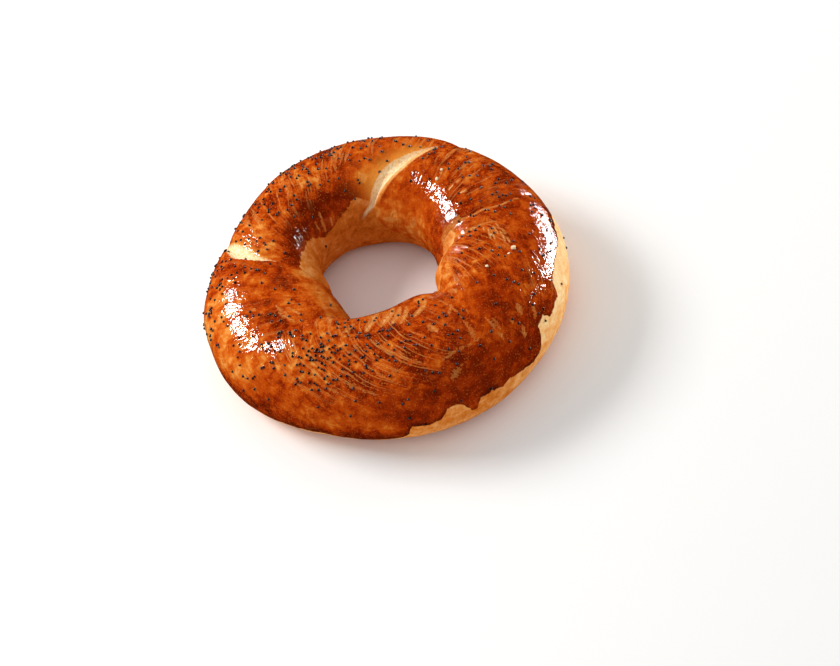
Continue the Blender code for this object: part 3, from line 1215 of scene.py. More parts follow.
@dataclass(frozen=True)
class BakedCrust:
    """Egg-washed bread crust: yolk and milk brushed on soft dough and baked to a thin brown varnish.

    The wash gives a hard wet gloss over a red-brown that darkens where it pooled. Bristle marks and
    folds let the golden dough show through. Unwashed dough is matt tan, and torn dough is cream.

    Attributes:
        wash_stops: Colours of the wash from thin to thick.
        dough_stops: Colours of unwashed crust from pale to well baked.
        torn_lit_and_shaded_stops: Colours of the torn crumb in a split, from its fibres to the gaps
            between them, with painted highlight on the fibres and painted shade in the gaps.
        scrape_stops: Colours of the dough seen through a bristle mark.
        stretched_stops: Colours of the dough stretched beside a split, from least to most stretched.
        scratch: Colour of the barest dough, in the middle of a deep mark.
        pinhole: Colour of the dough seen through pinholes in the wash.
        rim: Colour of the wash where it dried in a thick edge.
        pool: Size of the larger clouds in the wash.
        mottle: Size of its mottles.
        band: Width of the bands that the brush drew in it.
        blister: Size of its small blotches and of the dull spots in its gloss.
        ripple: Size of the low ripples that break up a highlight.
        speckle: Size of the pinholes in the wash.
        grain: Size of the crust's grain, drawn a little coarse so that it shows.
        bristle: Width of a bristle mark.
        bristle_run: How many times longer than wide a mark is.
        hair: Width of the fine lines between the marks.
        hair_run: How many times longer than wide such a line is.
        band_run: How many times longer than wide a band is.
        wash_roughness: Roughness of the washed dough under its gloss.
        dough_roughness: Roughness of the unwashed dough.
        torn_roughness: What torn crumb adds to the roughness.
        gloss: How much of the wash shines.
        dulling: How much of that the dull spots take away.
        coat_roughness: Roughness of the wash's own hard surface.
        coat_ior: How strongly that surface mirrors light.
        heights: Height of each pattern in the relief.
        torn_height: Height of the torn crumb's grain.
        film_height: Thickness of the wash at its edge.
    """

    wash_stops: Stops = (
        (0.0, "#de8d42"),
        (0.08, "#d37526"),
        (0.24, "#c85a15"),
        (0.30, "#be4d0b"),
        (0.47, "#b33f05"),
        (0.52, "#9f3305"),
        (0.66, "#942903"),
        (0.72, "#7d2002"),
        (1.0, "#671602"),
    )
    dough_stops: Stops = (
        (0.0, "#f9dba4"),
        (0.3, "#efad66"),
        (0.6, "#d5772a"),
        (0.85, "#b4580f"),
        (1.0, "#9a4a0f"),
    )
    # The torn crumb's lighter stops stand in for highlight on its fibres, and the darker ones for shade
    # in the gaps.
    torn_lit_and_shaded_stops: Stops = ((0.3, "#fdeccd"), (0.55, "#f5d29c"), (0.78, "#dc9d58"))
    scrape_stops: Stops = ((0.25, "#e4a563"), (0.5, "#d07c36"), (0.75, "#ba5a1c"))
    stretched_stops: Stops = ((0.05, "#c9561a"), (0.3, "#dc7c22"), (0.55, "#ea993a"))
    scratch: str = "#f4cd94"
    pinhole: str = "#cc7430"
    rim: str = "#4a1107"
    pool: float = 10.0
    mottle: float = 3.4
    band: float = 2.2
    blister: float = 1.1
    ripple: float = 1.15
    speckle: float = 0.55
    grain: float = 0.4
    bristle: float = 1.25
    bristle_run: float = 14.0
    hair: float = 0.5
    hair_run: float = 9.0
    band_run: float = 6.0
    wash_roughness: float = 0.34
    dough_roughness: float = 0.62
    torn_roughness: float = 0.3
    gloss: float = 0.85
    dulling: float = 0.6
    coat_roughness: float = 0.05
    coat_ior: float = 1.7
    heights: tuple[tuple[str, float], ...] = (
        ("bristle", 0.15),
        ("hair", 0.07),
        ("swell", 0.26),
        ("ripple", 0.18),
        ("speckle", 0.045),
        ("grain", 0.015),
    )
    torn_height: float = 0.22
    film_height: float = 0.06

    def material(self) -> bpy.types.Material:
        """Builds the crust's material.

        Returns:
            A material that reads the crust's point attributes.
        """
        material = new_material("egg-washed crust")
        tree = material.node_tree
        read = {
            point: add_node(tree, "ShaderNodeAttribute", attribute_name=point.value).outputs["Fac"]
            for point in CrustPoint
            if point not in (CrustPoint.SEEDS, CrustPoint.SHARES)
        }
        nodes = CrustNodes(tree, read, {**self._clouds(tree), **self._marks(tree)})
        washed = self._washed(nodes)
        relief = self._relief(nodes, washed)
        dulled = nodes.step(nodes.patterns["blister"], 0.57, 0.64)
        coat = nodes.product(washed, nodes.mix(self.gloss, (dulled, -self.dulling)))
        rough = nodes.mix(
            self.dough_roughness,
            (washed, self.wash_roughness - self.dough_roughness),
            (read[CrustPoint.TORN], self.torn_roughness),
        )
        shader = add_node(
            tree,
            "ShaderNodeBsdfPrincipled",
            {
                "Base Color": self._colour(nodes, washed),
                "Roughness": rough,
                "IOR": 1.4,
                "Specular IOR Level": 0.0,
                "Normal": relief,
                "Coat Weight": coat,
                "Coat Roughness": self.coat_roughness,
                "Coat IOR": self.coat_ior,
                "Coat Normal": relief,
            },
        )
        add_node(tree, "ShaderNodeOutputMaterial", {"Surface": shader.outputs[0]})
        return material

    def _clouds(self, tree: bpy.types.NodeTree) -> dict[str, Socket]:
        """Adds the wash's clouds and the crust's grain.

        Args:
            tree: The material's tree.

        Returns:
            The value of each, by name.
        """
        place = add_node(tree, "ShaderNodeTexCoord").outputs["Object"]
        kinds = {
            "pool": (self.pool, 2.0, 0.5, 0.0),
            "mottle": (self.mottle, 5.0, 0.6, 0.35),
            "blister": (self.blister, 3.0, 0.6, 0.0),
            "speckle": (self.speckle, 1.0, 0.5, 0.0),
            "grain": (self.grain, 2.0, 0.6, 0.0),
            "swell": (self.mottle, 1.0, 0.35, 0.0),
            "ripple": (self.ripple, 1.0, 0.35, 0.0),
        }
        made = {}
        for name, (size, detail, roughness, warp) in kinds.items():
            sockets = {
                "Vector": place,
                "Scale": 1 / (size * MM),
                "Detail": detail,
                "Roughness": roughness,
                "Distortion": warp,
            }
            made[name] = add_node(tree, "ShaderNodeTexNoise", sockets).outputs["Fac"]
        return made

    def _marks(self, tree: bpy.types.NodeTree) -> dict[str, Socket]:
        """Adds bands and bristle marks, each mixed from the three ways of the brush.

        Args:
            tree: The material's tree.

        Returns:
            The value of each, by name.
        """
        shares, *ways = (
            add_node(tree, "ShaderNodeAttribute", attribute_name=name).outputs["Vector"]
            for name in (CrustPoint.SHARES.value, "back_marks", "front_marks", "right_marks")
        )
        kinds = {
            "bristle": (self.bristle, self.bristle_run, 1.0, 0.5),
            "hair": (self.hair, self.hair_run, 2.0, 0.5),
            "band": (self.band, self.band_run, 3.0, 0.55),
        }
        made = {}
        for name, (width, run, detail, roughness) in kinds.items():
            joined = add_node(tree, "ShaderNodeCombineXYZ")
            for number, way in enumerate(ways):
                shrunk = add_node(
                    tree,
                    "ShaderNodeVectorMath",
                    {0: way, 1: (1 / width, 1 / (width * run), 1.0)},
                    operation="MULTIPLY",
                )
                noise = add_node(
                    tree,
                    "ShaderNodeTexNoise",
                    {
                        "Vector": shrunk.outputs[0],
                        "Scale": 1.0,
                        "Detail": detail,
                        "Roughness": roughness,
                    },
                )
                tree.links.new(noise.outputs["Fac"], joined.inputs[number])
            mixed = add_node(
                tree,
                "ShaderNodeVectorMath",
                {0: joined.outputs[0], 1: shares},
                operation="DOT_PRODUCT",
            )
            made[name] = mixed.outputs["Value"]
        return made

    def _washed(self, nodes: CrustNodes) -> Socket:
        """Adds the wash's cover, with a ragged edge.

        Args:
            nodes: The crust's nodes.

        Returns:
            0 for bare and 1 for washed.
        """
        edge = nodes.mix(-0.45, (nodes.read[CrustPoint.WASH], 1.0), mottle=3.0, bristle=1.0)
        shown = nodes.step(edge, 1.25, 1.85)
        for point in (CrustPoint.TORN, CrustPoint.LIP):
            shown = nodes.product(shown, nodes.mix(1.0, (nodes.read[point], -1.0)))
        return shown

    def _colour(self, nodes: CrustNodes, washed: Socket) -> Socket:
        """Adds the crust's colour: dough, the wash with its marks over it, and torn crumb.

        Args:
            nodes: The crust's nodes.
            washed: 0 for bare and 1 for washed.

        Returns:
            The colour.
        """
        stretch = nodes.read[CrustPoint.STRETCH]
        stretched = nodes.product(stretch, nodes.mix(-0.25, mottle=1.8, hair=0.6))
        drawn = add_ramp(nodes.tree, stretch, self.stretched_stops)
        dough = nodes.over(stretched, self._dough_colour(nodes), drawn)
        wash = self._wash_colour(nodes)
        for share, colour in self._scrapes(nodes):
            wash = nodes.over(share, wash, colour)
        wash = nodes.over(stretched, wash, drawn)
        wash = nodes.over(nodes.read[CrustPoint.RIM], wash, linear(self.rim))
        # The torn crumb's ramp paints highlight on its fibres and shade in the gaps between them.
        fibres = nodes.mix(-0.35, blister=0.8, hair=0.4, grain=0.5)
        torn = add_ramp(nodes.tree, fibres, self.torn_lit_and_shaded_stops)
        return nodes.over(nodes.read[CrustPoint.TORN], nodes.over(washed, dough, wash), torn)

    def _contrast(self, nodes: CrustNodes) -> Socket:
        """Adds how strongly the wash's mottles and pinholes show, which is most where it is streaky."""
        return nodes.mix(0.75, (nodes.read[CrustPoint.STREAK], 0.9))

    def _wash_colour(self, nodes: CrustNodes) -> Socket:
        """Adds the wash's colour, from golden where it is thin to dark brown where it pooled.

        Args:
            nodes: The crust's nodes.

        Returns:
            The colour.
        """
        banded = nodes.mix(-0.5, band=1.0)
        thickness = nodes.mix(
            -0.095,
            (nodes.read[CrustPoint.TONE], 0.3),
            (nodes.product(nodes.mix(-0.5, mottle=1.0), self._contrast(nodes)), 1.4),
            (nodes.product(banded, nodes.read[CrustPoint.STREAK]), 0.8),
            (banded, 0.25),
            pool=0.68,
            hair=0.26,
            grain=0.18,
        )
        return add_ramp(nodes.tree, thickness, self.wash_stops)

    def _dough_colour(self, nodes: CrustNodes) -> Socket:
        """Adds the unwashed dough's colour, from pale to well baked.

        Args:
            nodes: The crust's nodes.

        Returns:
            The colour.
        """
        baking = nodes.mix(
            -0.53,
            (nodes.read[CrustPoint.BAKE], 1.0),
            mottle=0.8,
            hair=0.25,
            blister=0.35,
            speckle=-0.3,
        )
        return add_ramp(nodes.tree, baking, self.dough_stops)

    def _scrapes(self, nodes: CrustNodes) -> tuple[tuple[Socket, Any], ...]:
        """Adds what shows through the wash: pinholes, bristle marks, strokes and their palest middles.

        Args:
            nodes: The crust's nodes.

        Returns:
            The share and the colour of each, in the order in which they are laid over the wash.
        """
        patterns, barest = nodes.patterns, nodes.read[CrustPoint.BARE]
        pinholes = nodes.product(nodes.step(patterns["speckle"], 0.60, 0.68), self._contrast(nodes))
        marked = nodes.product(
            nodes.step(patterns["bristle"], 0.55, 0.62),
            nodes.step(nodes.read[CrustPoint.STREAK], 0.3, 0.9),
        )
        broken = nodes.product(marked, nodes.step(patterns["mottle"], 0.36, 0.48))
        stroke = nodes.mix(-1.84, (barest, 1.0), mottle=1.2, blister=1.5, hair=0.3)
        bare = nodes.step(stroke, 0.0, 0.12)
        fleck = nodes.mix(-0.75, blister=1.2, hair=0.8, grain=0.5)
        scrape = add_ramp(nodes.tree, fleck, self.scrape_stops)
        return (
            (nodes.mix(0.0, (pinholes, 0.42)), linear(self.pinhole)),
            (nodes.mix(0.0, (broken, 0.56)), scrape),
            (nodes.product(bare, nodes.mix(0.3, (barest, 0.6))), scrape),
            (nodes.product(bare, nodes.step(barest, 1.0, 1.25)), linear(self.scratch)),
        )

    def _relief(self, nodes: CrustNodes, washed: Socket) -> Socket:
        """Adds the fine relief of bristle marks, ripples, torn crumb and the wash's edge.

        Args:
            nodes: The crust's nodes.
            washed: 0 for bare and 1 for washed.

        Returns:
            The crust's direction, bumped by the relief.
        """
        torn = nodes.product(nodes.read[CrustPoint.TORN], nodes.patterns["grain"])
        height = nodes.mix(
            0.0, (torn, self.torn_height), (washed, self.film_height), **dict(self.heights)
        )
        bump = add_node(
            nodes.tree, "ShaderNodeBump", {"Height": height, "Distance": MM, "Strength": 1.0}
        )
        return bump.outputs[0]


@dataclass(frozen=True)
class PoppySeedCoat:
    """Ripe poppy seed: a hard slate-blue to black skin with a faint sheen from its netted ridges.

    Attributes:
        dark: Colour of most seeds.
        bloom: Colour of the greyer ones.
        patch: How far the colour carries before it changes, about a seed's length.
        ridge: Size of the net of ridges.
        ridge_height: Its height.
        roughness: Roughness of the skin.
    """

    dark: str = "#0f1012"
    bloom: str = "#32363b"
    patch: float = 1.6
    ridge: float = 0.25
    ridge_height: float = 0.08
    roughness: float = 0.34

    def material(self) -> bpy.types.Material:
        """Builds the seeds' material.

        Returns:
            A material that needs no attributes.
        """
        material = new_material("ripe poppy seed")
        tree = material.node_tree
        place = add_node(tree, "ShaderNodeTexCoord").outputs["Object"]
        noise = add_node(
            tree,
            "ShaderNodeTexNoise",
            {"Vector": place, "Scale": 1 / (self.patch * MM), "Detail": 1.0},
        )
        skin = add_ramp(tree, noise.outputs["Fac"], ((0.42, self.dark), (0.72, self.bloom)))
        ridges = add_node(
            tree,
            "ShaderNodeTexNoise",
            {"Vector": place, "Scale": 1 / (self.ridge * MM), "Detail": 1.0},
        )
        bump = add_node(
            tree,
            "ShaderNodeBump",
            {"Height": ridges.outputs["Fac"], "Distance": self.ridge_height * MM, "Strength": 0.6},
        )
        shader = add_node(
            tree,
            "ShaderNodeBsdfPrincipled",
            {
                "Base Color": skin,
                "Roughness": self.roughness,
                "Normal": bump.outputs[0],
            },
        )
        add_node(tree, "ShaderNodeOutputMaterial", {"Surface": shader.outputs[0]})
        return material


@dataclass(frozen=True)
class DryCrumb:
    """Dry bread crumb: matt cream, with browner corners where it broke from a crust.

    Attributes:
        pale: Colour of most of it.
        brown: Colour of its corners.
        pore: Size of its pores.
        pore_depth: How deep they are.
        roughness: Roughness of its surface.
    """

    pale: str = "#f4dcae"
    brown: str = "#cf9350"
    pore: float = 0.8
    pore_depth: float = 0.2
    roughness: float = 0.85

    def material(self) -> bpy.types.Material:
        """Builds the crumbs' material.

        Returns:
            A material that needs no attributes.
        """
        material = new_material("dry bread crumb")
        tree = material.node_tree
        place = add_node(tree, "ShaderNodeTexCoord").outputs["Object"]
        noise = add_node(
            tree, "ShaderNodeTexNoise", {"Vector": place, "Scale": 1 / (self.pore * MM), "Detail": 3.0}
        )
        crumb = add_ramp(tree, noise.outputs["Fac"], ((0.5, self.pale), (0.75, self.brown)))
        bump = add_node(
            tree,
            "ShaderNodeBump",
            {"Height": noise.outputs["Fac"], "Distance": self.pore_depth * MM, "Strength": 0.8},
        )
        shader = add_node(
            tree,
            "ShaderNodeBsdfPrincipled",
            {
                "Base Color": crumb,
                "Roughness": self.roughness,
                "Normal": bump.outputs[0],
            },
        )
        add_node(tree, "ShaderNodeOutputMaterial", {"Surface": shader.outputs[0]})
        return material


@dataclass(frozen=True)
class PaleFloor:
    """Matt white paper sweep, which gives a soft shadow and no reflections.

    Attributes:
        colour: Its colour.
        roughness: Its roughness.
    """

    colour: str = "#f4f3f1"
    roughness: float = 0.9

    def material(self) -> bpy.types.Material:
        """Builds the floor's material.

        Returns:
            A material of one colour.
        """
        material = new_material("matt paper sweep")
        tree = material.node_tree
        shader = add_node(
            tree,
            "ShaderNodeBsdfPrincipled",
            {"Base Color": linear(self.colour), "Roughness": self.roughness},
        )
        add_node(tree, "ShaderNodeOutputMaterial", {"Surface": shader.outputs[0]})
        return material


@dataclass(frozen=True)
class Baking:
    """How well baked the unwashed dough is, on a scale from 0 for pale to 1 for brown, with painted
    light on the lit side of the bare band.

    Attributes:
        plain: Where nothing below changes it.
        wall: How much browner the hole's wall is.
        low: How much browner the crust is close to the tray.
        pale: How much the pale blots take away, the first of them painted light.
        stretched: How much stretched dough lacks.
        lump: Size of its lumps.
        lump_height: How much they change it.
        lump_seed: Which lumps.
    """

    plain: float = 0.29
    wall: float = 0.35
    low: float = 0.24
    pale: float = 0.32
    stretched: float = 0.30
    lump: float = 14.0
    lump_height: float = 0.10
    lump_seed: int = 21

    def at(self, ring: Array, section: Array, points: Array, stretched: Array) -> Array:
        """How well baked each place is, with painted light from the first pale blot.

        Args:
            ring: Ring angles.
            section: Section angles.
            points: The crust's points.
            stretched: How stretched the dough is at each.

        Returns:
            A number for each place.
        """
        wall = smooth_hill(turned_near(section, 180), (110, 165), (205, 250))
        low = smooth_step(-points[:, 2], -9, 0)
        # The first pale blot is painted light: the lit right side of the bare band, drawn paler.
        pale = sum(blot.at(ring, section) for blot in PALE_AND_LIT_BLOTS)
        brown = sum(blot.at(ring, section) for blot in BROWN_BLOTS)
        total = self.plain + self.wall * wall + self.low * low + brown
        total = total - self.pale * pale - self.stretched * stretched
        return total + self.lump_height * unevenness(points, self.lump, self.lump_seed)


@dataclass
class Crust:
    """The roll's whole surface, from its flat base to the laps and splits of the twist.

    Attributes:
        form: The plain ring.
        wash: The egg wash on it.
        baking: How its bare dough baked.
        ring_steps: Points round the ring.
        rope_steps: Points round the rope.
        first_section: Section angle at which the points round the rope begin.
        base: Section angles between which the hidden base lies.
        base_share: How closely the base is pointed, against the rest.
        lumps: Size, height and seed of the dough's lumps, from the broadest to the finest.
    """

    form: RingForm
    wash: EggWash = EggWash()
    baking: Baking = Baking()
    ring_steps: int = 432
    rope_steps: int = 224
    first_section: float = -60.0
    base: tuple[float, float] = (228.0, 312.0)
    base_share: float = 0.3
    lumps: tuple[tuple[float, float, int], ...] = (
        (26.0, 0.7, 11),
        (11.0, 0.3, 12),
        (4.5, 0.10, 13),
        (2.2, 0.05, 14),
    )

    def angles(self) -> tuple[Array, Array]:
        """Places the crust's points, closer together round the rope where it shows.

        Returns:
            The ring angle and the section angle of each point.
        """
        fine = np.arange(0, 360, 0.5)
        round_rope = self.form.points(np.full_like(fine, FRONT), fine + self.first_section)
        stride = np.linalg.norm(np.roll(round_rope, -1, 0) - round_rope, axis=-1)
        start, end = self.base
        under = (fine + self.first_section > start) & (fine + self.first_section < end)
        stride *= np.where(under, self.base_share, 1.0)
        reached = np.concatenate([[0], np.cumsum(stride)])
        wanted = np.arange(self.rope_steps) * reached[-1] / self.rope_steps
        section = np.interp(wanted, reached, np.append(fine, 360.0)) + self.first_section
        ring = np.arange(self.ring_steps) * 360 / self.ring_steps
        grid = np.meshgrid(ring, section, indexing="ij")
        return grid[0].ravel(), grid[1].ravel()

    def shape(self, ring: Array, section: Array) -> tuple[Array, dict[str, PathTouch], Array]:
        """Works out the crust's form.

        Args:
            ring: Ring angles.
            section: Section angles.

        Returns:
            The crust's points, how they lie to each seam, and how bare the bristle strokes leave them.
        """
        points = self.form.points(ring, section)
        normals = self.form.normals(ring, section)
        touches = {seam.name: seam.touch(self.form, points, normals) for seam in SEAMS}
        rise = sum(swelling.lift(self.form, points) for swelling in SWELLINGS)
        for lump, height, seed in self.lumps:
            rise = rise + height * unevenness(points, lump, seed)
        for seam in SEAMS:
            rise = rise + seam.relief(touches[seam.name])
        bare = np.zeros(len(points))
        for stroke in STROKES:
            share = stroke.share(self.form, points, normals)
            bare = np.maximum(bare, stroke.strength * share)
            rise = rise - stroke.groove * np.maximum(2 * share - 1, 0)
        shaped = points + normals * rise[:, None]
        shaped[:, 2] = np.maximum(shaped[:, 2], 0)
        return shaped, touches, bare

    def seeds(self, ring: Array, section: Array) -> Array:
        """How thickly seeds lie at each place.

        Args:
            ring: Ring angles.
            section: Section angles.

        Returns:
            A share for each place, of how thickly they lie in the tight cluster on the front.
        """
        drifts = sum(drift.at(ring, section) for drift in SEED_DRIFTS)
        outside = turned_near(section, 60)
        top = smooth_hill(outside, (-12, 20), (128, 150))
        wall = smooth_hill(outside, (10, 20), (150, 190))
        return top * (drifts + TOP_SEEDS) + WALL_SEEDS * wall

    def mesh(self) -> bpy.types.Mesh:
        """Builds the crust's mesh with the point attributes that its material and seeds read.

        Returns:
            A closed mesh in metres.
        """
        ring, section = self.angles()
        shaped, touches, bare = self.shape(ring, section)
        torn, stretched, lips = self.wash.splits(touches)
        reach, outer = self.wash.reach(ring, section)
        thin = [smooth_step(patch.depth(ring, section), -0.4, 0.8) for patch in THIN_PATCHES]
        calm = 1 - np.max(thin, 0)
        tone = self.field(TONE_BLOTS, ring, section) * calm + THIN_TONE * (1 - calm)
        streaks = self.field(STREAK_BLOTS, ring, section)
        rim, pooled = self.wash.rims(section, shaped, outer)
        floats = {
            CrustPoint.WASH: np.clip(reach, -12, 12),
            CrustPoint.RIM: rim,
            CrustPoint.TONE: tone + pooled,
            CrustPoint.STREAK: np.clip(PLAIN_STREAK + streaks, 0, 1) * calm,
            CrustPoint.BARE: bare,
            CrustPoint.TORN: torn,
            CrustPoint.STRETCH: stretched * self.wash.golden,
            CrustPoint.LIP: lips,
            CrustPoint.BAKE: self.baking.at(ring, section, shaped, stretched),
            CrustPoint.SEEDS: self.seeds(ring, section) * (1 - torn) * (shaped[:, 2] > 1),
        }
        mesh = self.skin(shaped)
        for name, values in floats.items():
            layer = mesh.attributes.new(name.value, "FLOAT", "POINT")
            layer.data.foreach_set("value", values.astype(np.float32))
        vectors = self.wash.marks(ring, section, shaped)
        vectors[CrustPoint.SHARES.value] = self.wash.shares(ring, section)
        for name, values in vectors.items():
            layer = mesh.attributes.new(name, "FLOAT_VECTOR", "POINT")
            layer.data.foreach_set("vector", values.astype(np.float32).ravel())
        return mesh

    @staticmethod
    def field(blots: Iterable[Blot], ring: Array, section: Array) -> Array:
        """Adds up some blots.

        Args:
            blots: The blots.
            ring: Ring angles.
            section: Section angles.

        Returns:
            Their sum at each place, kept between -1 and 1.2.
        """
        return np.clip(sum(blot.at(ring, section) for blot in blots), -1, 1.2)

    def skin(self, points: Array) -> bpy.types.Mesh:
        """Spans faces over the crust's points.

        Args:
            points: The crust's points, round the rope and then round the ring.

        Returns:
            A closed mesh in metres.
        """
        index = np.arange(len(points)).reshape(self.ring_steps, self.rope_steps)
        ahead = np.roll(index, -1, 0)
        faces = np.stack([index, ahead, np.roll(ahead, -1, 1), np.roll(index, -1, 1)], -1)
        mesh = bpy.data.meshes.new("crust")
        mesh.from_pydata((points * MM).tolist(), [], faces.reshape(-1, 4).tolist())
        mesh.shade_smooth()
        return mesh

    def build(self) -> bpy.types.Object:
        """Makes the crust, dresses it and sets it in place of the plain solid.

        Returns:
            The crust.
        """
        crust = new_object("crust", self.mesh())
        crust.data.materials.append(BakedCrust().material())
        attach(crust, "root")
        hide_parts("roll")
        return crust


@dataclass
class PoppySeeds:
    """Poppy seeds that fell on the wet wash and baked into it.

    Attributes:
        crust: The crust that they lie on.
        length: Length of a seed.
        width: Its width.
        thickness: Its thickness.
        bend: How far its two ends are drawn in, as in a kidney.
        rise: How far a seed's middle stands above the crust.
        tilt: How far a seed may lean, in radians.
        smallest: Size of the smallest seed, against the length, width and thickness above.
        largest: Size of the largest.
        spacing: The least distance between the middles of two seeds.
        thickest: Seeds on a square millimetre where they lie thickest.
        seed: Which scatter.
    """

    crust: bpy.types.Object
    length: float = 1.12
    width: float = 0.98
    thickness: float = 0.9
    bend: float = 0.12
    rise: float = 0.16
    tilt: float = 0.4
    smallest: float = 0.82
    largest: float = 1.12
    spacing: float = 0.9
    thickest: float = 2.0
    seed: int = 8

    def one_seed(self) -> bpy.types.Object:
        """Makes a single kidney-shaped seed at true size, about its own middle.

        Returns:
            The seed.
        """
        shell = bmesh.new()
        bmesh.ops.create_uvsphere(shell, u_segments=8, v_segments=5, radius=0.5)
        for vertex in shell.verts:
            x, y, z = vertex.co
            notch = self.bend * (1 - 4 * x * x) * (y > 0)
            vertex.co = Vector((x * self.length, (y - notch) * self.width, z * self.thickness)) * MM
        mesh = bpy.data.meshes.new("one_seed")
        shell.to_mesh(mesh)
        shell.free()
        mesh.shade_smooth()
        return bpy.data.objects.new("one_seed", mesh)

    def tree(self, coat: bpy.types.Material) -> tuple[bpy.types.NodeTree, dict[str, str]]:
        """Builds the nodes that sow the seeds.

        Args:
            coat: The seeds' material.

        Returns:
            The tree, and the identifier of each named input.
        """
        tree = bpy.data.node_groups.new("sow poppy seeds", "GeometryNodeTree")
        wanted = (
            ("Crust", "NodeSocketGeometry"),
            ("Seed", "NodeSocketObject"),
            ("Spacing", "NodeSocketFloat"),
            ("Thickest", "NodeSocketFloat"),
            ("Rise", "NodeSocketFloat"),
            ("Scatter", "NodeSocketInt"),
        )
        names = {
            name: tree.interface.new_socket(name=name, in_out="INPUT", socket_type=kind).identifier
            for name, kind in wanted
        }
        tree.interface.new_socket(name="Seeds", in_out="OUTPUT", socket_type="NodeSocketGeometry")
        given = add_node(tree, "NodeGroupInput").outputs
        share = add_node(
            tree,
            "GeometryNodeInputNamedAttribute",
            {"Name": CrustPoint.SEEDS.value},
            data_type="FLOAT",
        )
        fallen = add_node(
            tree,
            "GeometryNodeDistributePointsOnFaces",
            {
                "Mesh": given["Crust"],
                "Distance Min": given["Spacing"],
                "Density Max": given["Thickest"],
                "Density Factor": share.outputs["Attribute"],
                "Seed": given["Scatter"],
            },
            distribute_method="POISSON",
        )
        lift = add_node(
            tree,
            "ShaderNodeVectorMath",
            {0: fallen.outputs["Normal"], "Scale": given["Rise"]},
            operation="SCALE",
        )
        lifted = add_node(
            tree,
            "GeometryNodeSetPosition",
            {"Geometry": fallen.outputs["Points"], "Offset": lift.outputs[0]},
        )
        turn = add_node(
            tree,
            "FunctionNodeRandomValue",
            {0: (-self.tilt, -self.tilt, 0.0), 1: (self.tilt, self.tilt, math.tau), "Seed": 3},
            data_type="FLOAT_VECTOR",
        )
        turned = add_node(
            tree,
            "FunctionNodeRotateRotation",
            {"Rotation": fallen.outputs["Rotation"], "Rotate By": turn.outputs[0]},
            rotation_space="LOCAL",
        )
        growth = add_node(
            tree,
            "FunctionNodeRandomValue",
            {2: self.smallest, 3: self.largest, "Seed": 4},
            data_type="FLOAT",
        )
        one = add_node(tree, "GeometryNodeObjectInfo", {"Object": given["Seed"]})
        sown = add_node(
            tree,
            "GeometryNodeInstanceOnPoints",
            {
                "Points": lifted.outputs[0],
                "Instance": one.outputs["Geometry"],
                "Rotation": turned.outputs[0],
                "Scale": growth.outputs[1],
            },
        )
        real = add_node(tree, "GeometryNodeRealizeInstances", {0: sown.outputs[0]})
        dressed = add_node(
            tree, "GeometryNodeSetMaterial", {"Geometry": real.outputs[0], "Material": coat}
        )
        add_node(tree, "NodeGroupOutput", {0: dressed.outputs[0]})
        return tree, names

    def build(self) -> bpy.types.Object:
        """Sows the seeds over the crust as one mesh.

        Returns:
            All the seeds.
        """
        coat = PoppySeedCoat().material()
        tree, names = self.tree(coat)
        seed = self.one_seed()
        bed = new_object("seed_bed", self.crust.data)
        sow = bed.modifiers.new("sow", "NODES")
        sow.node_group = tree
        values = {
            "Seed": seed,
            "Spacing": self.spacing * MM,
            "Thickest": self.thickest / MM**2,
            "Rise": self.rise * MM,
            "Scatter": self.seed,
        }
        for name, value in values.items():
            sow[names[name]] = value
        graph = bpy.context.evaluated_depsgraph_get()
        mesh = bpy.data.meshes.new_from_object(bed.evaluated_get(graph), depsgraph=graph)
        mesh.name = "poppy_seeds"
        seeds = new_object("poppy_seeds", mesh)
        bpy.data.objects.remove(bed)
        bpy.data.objects.remove(seed)
        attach(seeds, "root")
        return seeds


@dataclass(frozen=True)
class Crumb:
    """One crumb.

    Attributes:
        ring: Ring angle of its place.
        section: Section angle of its place.
        size: How far it is across.
        seed: Which shape it has.
    """

    ring: float
    section: float
    size: float
    seed: int


